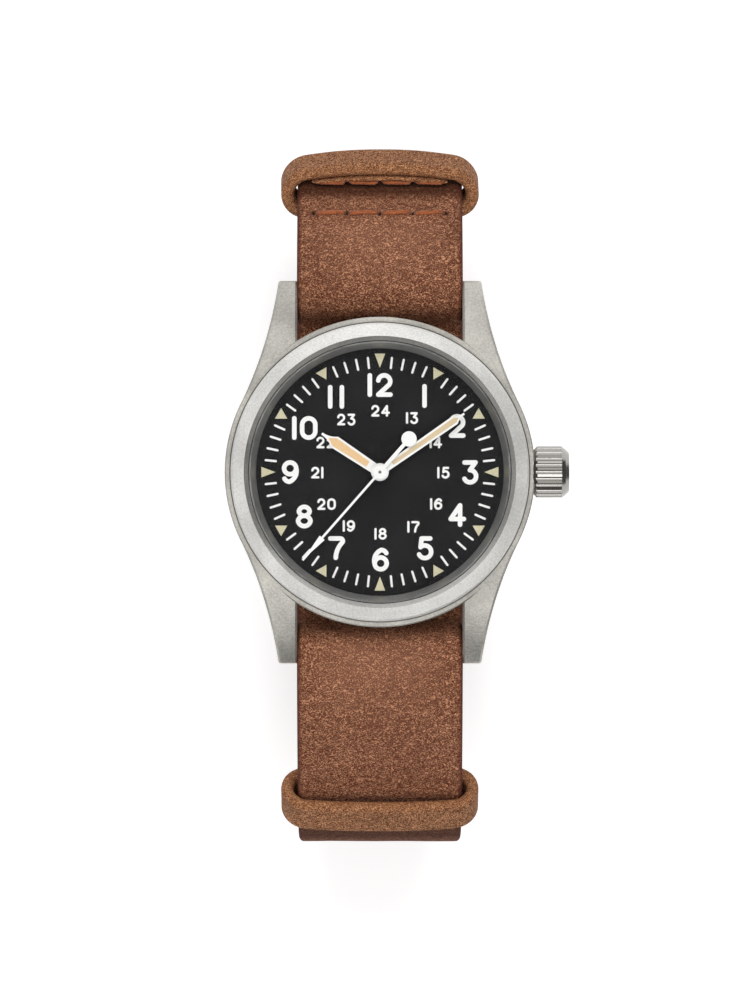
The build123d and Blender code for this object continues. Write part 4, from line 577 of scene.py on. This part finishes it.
def layLap(name):
    # the keeper's sewn lap: a thin band inside its bowed side, its thickness fading at both ends
    b, a = bandSection(lap["to"] - lap["from"], lap["thick"], lap["edge"], lap["across"])
    x = np.linspace(-lap["half"], lap["half"], lap["cells"])[:, None]
    taper = np.sqrt(np.clip(1 - (x / lap["half"]) ** lap["taperPower"], 0, 1))
    edge = ripple(x * lap["unevenPace"], 0 * x, lap["seed"]) * lap["uneven"]
    high = lapTop(x) - lap["thick"] / 2 * taper + a[None] * taper
    drawn = 1 - lap["narrow"] + lap["narrow"] * taper
    along = (lap["from"] + lap["to"]) / 2 + b[None] * drawn + edge * (b[None] < 0)
    rim = np.clip(-b[None] - lap["rimFrom"], 0, 1) * lap["rimShare"]
    mesh = gridMesh(name, inKeeper("upper", x + 0 * a[None], along, high), [("rim", rim)])
    return addPiece(name, mesh, "watch")


lapPiece = layLap("keeperLap")
print("keepers laid")


def layStitches(name):
    # A thread of two twisted strands: a tube whose radius swells and sinks with the angle minus the twist,
    # along an arch that starts and ends below the leather's face. The arch is the rise less the dip times
    # the distance from the middle to a high power, so it is level and turns down late.
    share = np.linspace(0, 1, stitches["cells"][0])[:, None]
    turn = np.linspace(0, 2 * np.pi, stitches["cells"][1], endpoint=False)[None]
    arch = stitches["rise"] - stitches["dip"] * np.abs(2 * share - 1) ** stitches["dipPower"]
    ends = np.sqrt(np.clip(1 - (2 * share - 1) ** stitches["endPower"], 0, 1))
    between, strand = stitches["strands"]
    grids = []
    lapPlace = inKeeper("upper", np.array(0.0), lap["from"] + stitches["lapInset"],
                        lapTop(stitches["lapAt"]) - lap["thick"] - stitches["lapSink"])
    lapOut = -turnVector(radians(keeperPlace("upper")[1]))
    for number, (place, out) in enumerate(stitchRows + [(lapPlace[1:], lapOut)]):
        way = np.array([out[1], -out[0]])
        for stitch in range(stitches["count"]):
            middle = (stitch - (stitches["count"] - 1) / 2) * stitches["pitch"]
            twist = stitches["twist"] * np.pi * share + stitch * stitches["twistStep"] + number
            radius = stitches["radius"] * (between + strand * np.abs(np.cos(turn - twist))) * ends
            lead = stitches["slant"] * (2 * share - 1) * (-1) ** number
            x = middle + (share - 0.5) * stitches["length"] + 0 * turn
            along = lead + radius * np.cos(turn)
            high = arch + radius * np.sin(turn) * stitches["flat"]
            grids.append(np.stack([x, place[0] + along * way[0] + high * out[0],
                                   place[1] + along * way[1] + high * out[1]], axis=-1))
    mesh = bpy.data.meshes.new(name)
    shell = bmesh.new()
    for grid in grids:
        part = gridMesh(name + "Part", grid, [("sunk", np.abs(2 * share - 1) ** stitches["sunkPower"])])
        shell.from_mesh(part)
        bpy.data.meshes.remove(part)
    shell.to_mesh(mesh)
    shell.free()
    return mesh


threadPiece = addPiece("stitchThread", layStitches("stitchThread"), "watch", ["strap_stitches"])
print("stitches laid")


# finishes: node groups first, then one material for each slot
def linear(red, green, blue):
    # a colour given as screen values from 0 to 255, turned to the linear values that shaders take
    share = np.array([red, green, blue]) / 255
    low, high = share / 12.92, ((share + 0.055) / 1.055) ** 2.4
    return tuple(np.where(share <= 0.04045, low, high).tolist()) + (1.0,)


def put(tree, kind, sockets=(), **settings):
    # adds a node, sets its properties and then its sockets: another node's socket is linked, a value is set
    made = tree.nodes.new("ShaderNode" + kind)
    for key, value in settings.items():
        setattr(made, key, value)
    for key, value in dict(sockets).items():
        if isinstance(value, bpy.types.NodeSocket):
            tree.links.new(value, made.inputs[key])
        else:
            made.inputs[key].default_value = value
    return made


def sums(tree, operation, *values):
    return put(tree, "Math", enumerate(values), operation=operation).outputs[0]


def fade(tree, value, start, end, low=0.0, high=1.0):
    # value between start and end turned smoothly to low and high
    return put(tree, "MapRange", {"Value": value, "From Min": start, "From Max": end, "To Min": low,
                                  "To Max": high}, interpolation_type="SMOOTHSTEP").outputs["Result"]


def blendColour(tree, share, first, second):
    # the Mix node's sockets 0, 6 and 7 are its factor and its two colours
    return put(tree, "Mix", {0: share, 6: first, 7: second}, data_type="RGBA").outputs[2]


def cloud(tree, vector, scale, detail=2.0, rough=0.5, bent=0.0):
    return put(tree, "TexNoise", {"Vector": vector, "Scale": scale, "Detail": detail,
                                  "Roughness": rough, "Distortion": bent}).outputs["Fac"]


def newGroup(name, inputs, outputs):
    # a node group with named sockets: inputs are labels and values, outputs are labels
    tree = bpy.data.node_groups.new(name, "ShaderNodeTree")
    for label, value in inputs.items():
        tree.interface.new_socket(label, in_out="INPUT", socket_type="NodeSocketFloat").default_value = value
    for label in outputs:
        tree.interface.new_socket(label, in_out="OUTPUT", socket_type="NodeSocketFloat")
    return tree, tree.nodes.new("NodeGroupInput").outputs, tree.nodes.new("NodeGroupOutput").inputs


def placed(tree, scale):
    # the piece's own coordinates, enlarged
    own = put(tree, "TexCoord").outputs["Object"]
    return put(tree, "VectorMath", {0: own, "Scale": scale}, operation="SCALE").outputs[0]


hide = {
    "stretch": 0.7,         # how far the ridges are drawn out across the strap
    "ridges": (0.42, 0.585),    # noise values where a ridge starts and where it is full
    "pores": (0.6, 0.74),
    "poreScale": 0.4,       # size of the pores' pattern for that of the ridges
    "smallScale": 2.4,
    "mottleScale": 110.0,
}


def buildGrainGroup():
    # pebbled hide: the tops of a noise bent by a second one make short curly ridges over about half of the
    # face, and a finer noise of the same kind breaks them up
    outputs = ["Height", "Pore", "Mottle"]
    tree, given, result = newGroup("hideGrain", {"Cells": 3400.0, "Fine": 0.4}, outputs)
    base = placed(tree, given["Cells"])
    drawn = put(tree, "Mapping", {"Vector": base, "Scale": (hide["stretch"], 1.0, 1.0)}).outputs[0]
    broad = cloud(tree, drawn, 1.0, detail=1.0, bent=2.2)
    small = cloud(tree, base, hide["smallScale"], detail=0.0, bent=0.8)
    share = sums(tree, "SUBTRACT", 1.0, given["Fine"])
    small = sums(tree, "MULTIPLY", small, given["Fine"])
    mixed = sums(tree, "MULTIPLY_ADD", broad, share, small)
    tree.links.new(fade(tree, mixed, *hide["ridges"]), result["Height"])
    pores = cloud(tree, base, hide["poreScale"], detail=1.0)
    tree.links.new(fade(tree, pores, *hide["pores"]), result["Pore"])
    slow = cloud(tree, placed(tree, hide["mottleScale"]), 1.0, detail=4.0, rough=0.6)
    tree.links.new(slow, result["Mottle"])
    return tree


def buildBlastGroup():
    # bead-blasted or painted face: a fine even grain and a slow change of tone
    tree, given, result = newGroup("blastGrain", {"Grains": 7000.0}, ["Grain", "Tone"])
    base = placed(tree, given["Grains"])
    tree.links.new(cloud(tree, base, 1.0, rough=0.7), result["Grain"])
    tree.links.new(cloud(tree, placed(tree, 160.0), 1.0), result["Tone"])
    return tree


def buildBrushGroup():
    # fine lines left by a brush: noise drawn out along one axis by a different scale on each axis
    tree, given, result = newGroup("brushLines", {"Along": 300.0, "Over": 16000.0}, ["Lines"])
    own = put(tree, "TexCoord").outputs["Object"]
    axes = {"X": given["Along"], "Y": given["Over"], "Z": given["Over"]}
    scale = put(tree, "CombineXYZ", axes).outputs[0]
    drawn = put(tree, "VectorMath", {0: own, 1: scale}, operation="MULTIPLY").outputs[0]
    tree.links.new(cloud(tree, drawn, 1.0, detail=3.0, rough=0.6), result["Lines"])
    return tree


def buildRingGroup():
    # distance from the hands' axis: one inside the radius, and one on a thin line along it
    tree, given, result = newGroup("axisRing", {"Radius": 0.018, "Line": 0.00006}, ["Inside", "Line"])
    own = put(tree, "TexCoord").outputs["Object"]
    flat = put(tree, "VectorMath", {0: own, 1: (1.0, 1.0, 0.0)}, operation="MULTIPLY").outputs[0]
    away = put(tree, "VectorMath", {0: flat}, operation="LENGTH").outputs["Value"]
    past = sums(tree, "SUBTRACT", away, given["Radius"])
    tree.links.new(sums(tree, "LESS_THAN", past, 0.0), result["Inside"])
    tree.links.new(sums(tree, "LESS_THAN", sums(tree, "ABSOLUTE", past), given["Line"]), result["Line"])
    return tree


groups = {"ring": buildRingGroup(), "hide": buildGrainGroup(), "blast": buildBlastGroup(),
          "brush": buildBrushGroup()}


def newMaterial(name, **sockets):
    # a material with one Principled shader; values go on its own sockets, and their names have no spaces
    material = bpy.data.materials.new(name)
    material.use_nodes = True
    tree = material.node_tree
    shader = tree.nodes["Principled BSDF"]
    names = {socket.name.replace(" ", ""): socket for socket in shader.inputs}
    for key, value in sockets.items():
        names[key].default_value = value
    return material, tree, shader.inputs


def useGroup(tree, kind, **values):
    made = put(tree, "Group", node_tree=groups[kind])
    for key, value in values.items():
        made.inputs[key].default_value = value
    return made.outputs


def relieve(tree, shader, height, strength, distance):
    lifted = put(tree, "Bump", {"Height": height, "Strength": strength, "Distance": distance})
    tree.links.new(lifted.outputs[0], shader["Normal"])


def painted(tree, label):
    # a value that the mesh carries at its points
    return put(tree, "Attribute", attribute_name=label).outputs["Fac"]


def toned(colour, factor):
    return tuple(min(1.0, share * factor) for share in colour[:3]) + (1.0,)


def roughen(tree, shader, noise, rough, spread):
    # roughness from half the spread below to half above as the noise goes from zero to one
    tree.links.new(sums(tree, "MULTIPLY_ADD", noise, spread, rough - spread / 2), shader["Roughness"])


leather = {
    "strap": {
        "deep": linear(98, 47, 29),
        "light": linear(212, 150, 114),
        "pore": linear(72, 32, 18),
        # colour of the painted highlight
        "worn": linear(150, 98, 76),
        # colour of the painted shade
        "dark": linear(70, 36, 22),
        "rim": linear(84, 32, 24),
        "rimShare": 0.9,
        "cells": 3700.0,
        "fine": 0.3,
        "ridge": 0.95,
        "relief": 0.00016,
    },
    "keeper": {
        "deep": linear(98, 50, 28),
        "light": linear(232, 168, 120),
        "pore": linear(88, 46, 28),
        # colour of the painted highlight
        "worn": linear(196, 142, 102),
        # colour of the painted shade
        "dark": linear(92, 54, 36),
        "rim": linear(186, 128, 88),
        "rimShare": 0.25,
        "cells": 4200.0,
        "fine": 0.4,
        "ridge": 0.95,
        "relief": 0.00013,
    },
    "poreShare": 0.25,
    "mottleShare": 0.14,
    "rough": 0.7,
    "ridgeRough": -0.12,    # what the ridges add to the roughness, and what shade and rims add
    "dullRough": 0.28,
    "rimFlat": -0.7,        # what a rim adds to the relief
}


def leatherMaterial(name, look):
    material, tree, shader = newMaterial(name, SpecularIORLevel=0.16)
    grain = useGroup(tree, "hide", Cells=look["cells"], Fine=look["fine"])
    rim = sums(tree, "MULTIPLY", painted(tree, "rim"), look["rimShare"])
    # painted shade and painted highlight that the mesh carries at its points
    dark, worn = painted(tree, "dark"), painted(tree, "worn")
    # the grain's tone, pale on the ridge tops and deep between them, is partly the hide's own two tones and
    # partly painted light and shade of its relief
    ridge = sums(tree, "MULTIPLY", grain["Height"], look["ridge"])
    # painted highlight: the deep tone pales where the strap faces the light
    body = blendColour(tree, ridge, blendColour(tree, worn, look["deep"], look["worn"]), look["light"])
    pore = sums(tree, "MULTIPLY", grain["Pore"], leather["poreShare"])
    body = blendColour(tree, pore, body, look["pore"])
    mottle = fade(tree, grain["Mottle"], 0.4, 0.7, high=leather["mottleShare"])
    body = blendColour(tree, mottle, body, look["deep"])
    # painted shade where keepers and case shade the strap, and in its stitch holes
    body = blendColour(tree, dark, body, look["dark"])
    tree.links.new(blendColour(tree, rim, body, look["rim"]), shader["Base Color"])
    rough = sums(tree, "MULTIPLY_ADD", grain["Height"], leather["ridgeRough"], leather["rough"])
    dull = sums(tree, "MAXIMUM", dark, rim)
    tree.links.new(sums(tree, "MULTIPLY_ADD", dull, leather["dullRough"], rough), shader["Roughness"])
    smooth = sums(tree, "MULTIPLY_ADD", rim, leather["rimFlat"], 1.0)
    relieve(tree, shader, sums(tree, "MULTIPLY", grain["Height"], smooth), 1.0, look["relief"])
    return material


def metalMaterial(name, colour, rough, grains, relief, spread, strength=0.5, seam=0):
    # blasted metal: its tone goes from the colour less the spread to the colour plus the spread, and a dark
    # line runs round it at the radius of a seam
    material, tree, shader = newMaterial(name, Metallic=1.0)
    grain = useGroup(tree, "blast", Grains=grains)
    tint = sums(tree, "MULTIPLY_ADD", grain["Tone"], 0.5, sums(tree, "MULTIPLY", grain["Grain"], 0.5))
    pale, deep = toned(colour, 1 + spread), toned(colour, 1 - spread)
    body = blendColour(tree, fade(tree, tint, 0.3, 0.7), deep, pale)
    if seam:
        line = useGroup(tree, "ring", Radius=seam * mm)["Line"]
        body = blendColour(tree, sums(tree, "MULTIPLY", line, 0.8), body, (0.05, 0.048, 0.045, 1.0))
    tree.links.new(body, shader["Base Color"])
    roughen(tree, shader, grain["Grain"], rough, 0.16)
    relieve(tree, shader, grain["Grain"], strength, relief)
    return material


def brushedMaterial(name, colour, rough, along=300.0, over=16000.0):
    # the brush lines run where the scale along an axis is low for the scale over it
    material, tree, shader = newMaterial(name, Metallic=1.0)
    lines = useGroup(tree, "brush", Along=along, Over=over)
    streak = fade(tree, lines["Lines"], 0.3, 0.7)
    tree.links.new(blendColour(tree, streak, toned(colour, 0.82), colour), shader["Base Color"])
    roughen(tree, shader, lines["Lines"], rough, 0.2)
    relieve(tree, shader, lines["Lines"], 0.4, 0.000008)
    return material


def wheelMaterial(name, colour, arbor):
    # gilt wheel on a steel arbor at the movement's middle: the finish turns where the distance from the
    # axis passes the arbor's radius
    material, tree, shader = newMaterial(name, Metallic=1.0)
    lines = useGroup(tree, "brush", Along=300.0, Over=16000.0)
    inside = useGroup(tree, "ring", Radius=arbor * mm)["Inside"]
    body = blendColour(tree, inside, colour, (0.16, 0.155, 0.15, 1.0))
    streak = fade(tree, lines["Lines"], 0.3, 0.7, high=0.3)
    tree.links.new(blendColour(tree, streak, body, toned(colour, 0.6)), shader["Base Color"])
    roughen(tree, shader, lines["Lines"], 0.26, 0.2)
    return material


def paintMaterial(name, colour, shade, rough, grains=9000.0, relief=0.00001, **sockets):
    # a painted or coated face, between two close tones
    material, tree, shader = newMaterial(name, **sockets)
    grain = useGroup(tree, "blast", Grains=grains)
    tint = sums(tree, "MULTIPLY_ADD", grain["Tone"], 0.4, sums(tree, "MULTIPLY", grain["Grain"], 0.6))
    tree.links.new(blendColour(tree, fade(tree, tint, 0.32, 0.68), shade, colour), shader["Base Color"])
    roughen(tree, shader, grain["Grain"], rough, 0.2)
    relieve(tree, shader, grain["Grain"], 0.5, relief)
    return material


def threadMaterial(name):
    # waxed thread: fine fibres drawn out along the stitch, and ends darkened by painted shade where they
    # sink into the leather
    material, tree, shader = newMaterial(name, Roughness=0.62, SheenWeight=0.25)
    lines = useGroup(tree, "brush", Along=900.0, Over=11000.0)
    fibre = fade(tree, lines["Lines"], 0.3, 0.7)
    colour = blendColour(tree, fibre, linear(96, 42, 16), linear(186, 100, 44))
    # painted shade where the thread sinks into its holes
    colour = blendColour(tree, painted(tree, "sunk"), colour, linear(52, 22, 10))
    tree.links.new(colour, shader["Base Color"])
    relieve(tree, shader, lines["Lines"], 0.6, 0.00005)
    return material


def crystalMaterial(name):
    # clear glass that shows only its gloss: the alpha rises where the view grazes the surface
    material, tree, shader = newMaterial(name, BaseColor=(1, 1, 1, 1), IOR=1.76, TransmissionWeight=1.0)
    grazing = put(tree, "LayerWeight", {"Blend": 0.25}).outputs["Facing"]
    tree.links.new(fade(tree, grazing, 0.2, 1.0, low=0.015, high=0.6), shader["Alpha"])
    smudge = useGroup(tree, "blast", Grains=900.0)
    tree.links.new(sums(tree, "MULTIPLY_ADD", smudge["Tone"], 0.04, 0.01), shader["Roughness"])
    return material


def rubyMaterial(name):
    material, tree, shader = newMaterial(name, Roughness=0.08, CoatWeight=0.6)
    grain = useGroup(tree, "blast", Grains=4000.0)
    colour = blendColour(tree, grain["Grain"], linear(120, 8, 30), linear(214, 30, 66))
    tree.links.new(colour, shader["Base Color"])
    return material


steel = {"colour": (0.485, 0.47, 0.43), "rough": 0.5, "grains": 4600.0, "relief": 0.00005, "spread": 0.3,
         "strength": 0.9}
bezelSteel = {"colour": (0.69, 0.68, 0.655), "rough": 0.36, "grains": 4600.0, "relief": 0.00004,
              "spread": 0.2, "strength": 0.7}
# the crown's steel is darker than the case's: painted shade for its fluted grooves
crownSteel = {"colour": (0.34, 0.33, 0.31), "rough": 0.14, "grains": 9000.0, "relief": 0.00001,
              "spread": 0.06}
gilt = (0.79, 0.60, 0.30, 1.0)
finishes = {
    "steel": metalMaterial("blastedSteel", **steel),
    "bright_steel": brushedMaterial("satinSteel", (0.52, 0.51, 0.49, 1.0), 0.26),
    "sapphire": crystalMaterial("sapphireGlass"),
    "rubber_seal": paintMaterial("blackRubber", linear(38, 37, 36), linear(24, 24, 24), 0.6),
    "dark_ring": paintMaterial("darkRing", linear(176, 176, 174), linear(140, 140, 138), 0.4, Metallic=0.6),
    "grey_ring": paintMaterial("greyRing", linear(160, 160, 162), linear(140, 140, 142), 0.5),
    "black_dial": paintMaterial("mattBlackDial", linear(34, 34, 35), linear(20, 20, 21), 0.6, grains=6000.0,
                                relief=0.00002, SpecularIORLevel=0.12),
    "white_print": paintMaterial("whitePrint", linear(250, 250, 248), linear(232, 232, 229), 0.5),
    "lume": paintMaterial("creamLume", linear(222, 216, 184), linear(196, 190, 158), 0.7, grains=7000.0,
                          relief=0.00003),
    "white_paint": paintMaterial("whitePaint", linear(252, 252, 250), linear(236, 236, 233), 0.35),
    "nickel_plate": brushedMaterial("nickelPlate", (0.70, 0.68, 0.62, 1.0), 0.3, along=14000.0, over=500.0),
    "gilt_brass": brushedMaterial("giltBrass", gilt, 0.24),
    "ruby": rubyMaterial("rubyJewel"),
    "strap_leather": leatherMaterial("strapLeather", leather["strap"]),
    "thread": threadMaterial("waxedThread"),
}
# nodes whose finish is not their slot's own
special = {
    "mid_case": metalMaterial("caseSteel", seam=18.36, **steel),
    "bezel": metalMaterial("bezelSteel", **bezelSteel),
    "fourth_wheel": wheelMaterial("giltWheelSteelArbor", gilt, 0.6),
    "crown": metalMaterial("crownSteel", **crownSteel),
    "hour_hand_lume": paintMaterial("hourHandLume", linear(240, 205, 158), linear(222, 184, 136), 0.7),
    "minute_hand_lume": paintMaterial("minuteHandLume", linear(226, 204, 168), linear(206, 184, 148), 0.7),
}
slotOf = {entry["node"]: entry["material_slot"] for entry in frame["record"]["subparts"]}
for name, piece in nodes.items():
    piece.material_slots[0].material = special.get(name, finishes[slotOf[name]])
keeperLeather = leatherMaterial("keeperLeather", leather["keeper"])
for piece in (strapPiece, underPiece):
    piece.data.materials.append(finishes["strap_leather"])
for piece in (upperKeeper, lowerKeeper, freeKeeper, lapPiece):
    piece.data.materials.append(keeperLeather)
threadPiece.data.materials.append(finishes["thread"])
print("finishes made:", len(finishes) + len(special))

view = {
    "place": (-0.6, -3.42),
    "height": 858.2,
    "lens": 249.6,
    "floor": -47.8,
    "sensor": 36,
    "clip": (0.01, 10),
    "floorReach": 3.0,      # half the floor's width, in metres
    "floorGlow": 0.5,       # light of the floor's own, for what the camera sees of it
    "ambient": 0.45,
}
camera = bpy.data.objects.new("camera", bpy.data.cameras.new("camera"))
scene.collection.objects.link(camera)
camera.location = (view["place"][0] * mm, view["place"][1] * mm, view["height"] * mm)
camera.data.lens = view["lens"]
camera.data.sensor_width = view["sensor"]
camera.data.clip_start, camera.data.clip_end = view["clip"]
scene.camera = camera
scene.view_settings.view_transform = "Standard"


def flatSheet(name, corners):
    mesh = bpy.data.meshes.new(name)
    mesh.from_pydata(corners, [], [tuple(range(len(corners)))])
    piece = bpy.data.objects.new(name, mesh)
    scene.collection.objects.link(piece)
    return piece


def seenRays(tree):
    # one for what the camera, gloss and glass see, zero for the light on everything else
    rays = put(tree, "LightPath").outputs
    seen = sums(tree, "MAXIMUM", rays["Is Camera Ray"], rays["Is Glossy Ray"])
    return sums(tree, "MAXIMUM", seen, rays["Is Transmission Ray"])


def paleFloorMaterial():
    # a pale matt floor that still shows the shadow, lifted by an even glow of its own where it is seen
    material, tree, shader = newMaterial("paleFloor", BaseColor=linear(226, 226, 226), Roughness=0.9)
    shader["Emission Color"].default_value = (1, 1, 1, 1)
    tree.links.new(sums(tree, "MULTIPLY", seenRays(tree), view["floorGlow"]), shader["Emission Strength"])
    return material


reach = view["floorReach"]
floor = flatSheet("floor", [(x * reach, y * reach, view["floor"] * mm) for x, y in
                            ((-1, -1), (1, -1), (1, 1), (-1, 1))])
floor.data.materials.append(paleFloorMaterial())


def setWorld(ambient):
    # white to the camera, gloss and glass, and a softer light on everything else
    world = bpy.data.worlds.new("studio")
    world.use_nodes = True
    scene.world = world
    tree = world.node_tree
    background = tree.nodes["Background"]
    background.inputs["Color"].default_value = (1, 1, 1, 1)
    lit = put(tree, "MapRange", {"Value": seenRays(tree), "To Min": ambient, "To Max": 1.0})
    tree.links.new(lit.outputs["Result"], background.inputs["Strength"])


setWorld(view["ambient"])

# dark cards, unseen by the camera, that the metal and the crystal mirror: their corners in metres
flags = {
    "low": [(-0.5, -0.50, 0.02), (0.5, -0.50, 0.02), (0.5, -0.36, 0.30), (-0.5, -0.36, 0.30)],
    "right": [(0.45, -0.3, -0.02), (0.45, 0.3, -0.02), (0.38, 0.3, 0.3), (0.38, -0.3, 0.3)],
    "crown": [(0.02, -0.30, -0.04), (0.3, -0.30, -0.04), (0.3, -0.24, 0.1), (0.02, -0.24, 0.1)],
    "left": [(-0.45, -0.3, -0.02), (-0.45, 0.3, -0.02), (-0.38, 0.3, 0.12), (-0.38, -0.3, 0.12)],
}
for name, corners in flags.items():
    card = flatSheet(name + "Flag", corners)
    card.visible_camera = False
    card.visible_shadow = False
    card.visible_diffuse = False
    cardMaterial = newMaterial(name + "Card", BaseColor=(0.15, 0.15, 0.15, 1), Roughness=0.9)[0]
    card.data.materials.append(cardMaterial)

# places and sizes in metres, power in watts; gloss says whether shiny surfaces mirror the lamp
lamps = {
    "key": {"place": (0.05, 0.45, 0.8), "size": 0.55, "power": 3.6, "gloss": False},
    "shine": {"place": (0.0, 0.6, 0.7), "size": 0.5, "power": 0.45, "gloss": True},
    "lowShine": {"place": (0.0, -0.3, 0.85), "size": 0.3, "power": 0.9, "gloss": True},
    "fill": {"place": (0.0, -0.6, 0.6), "size": 0.6, "power": 1.6, "gloss": False},
}
for name, lamp in lamps.items():
    light = bpy.data.lights.new(name, "AREA")
    light.energy = lamp["power"]
    light.size = lamp["size"]
    source = bpy.data.objects.new(name, light)
    scene.collection.objects.link(source)
    source.visible_glossy = lamp["gloss"]
    source.location = lamp["place"]
    source.rotation_euler = Vector(lamp["place"]).to_track_quat("Z", "Y").to_euler()
print("stage and lamps set")
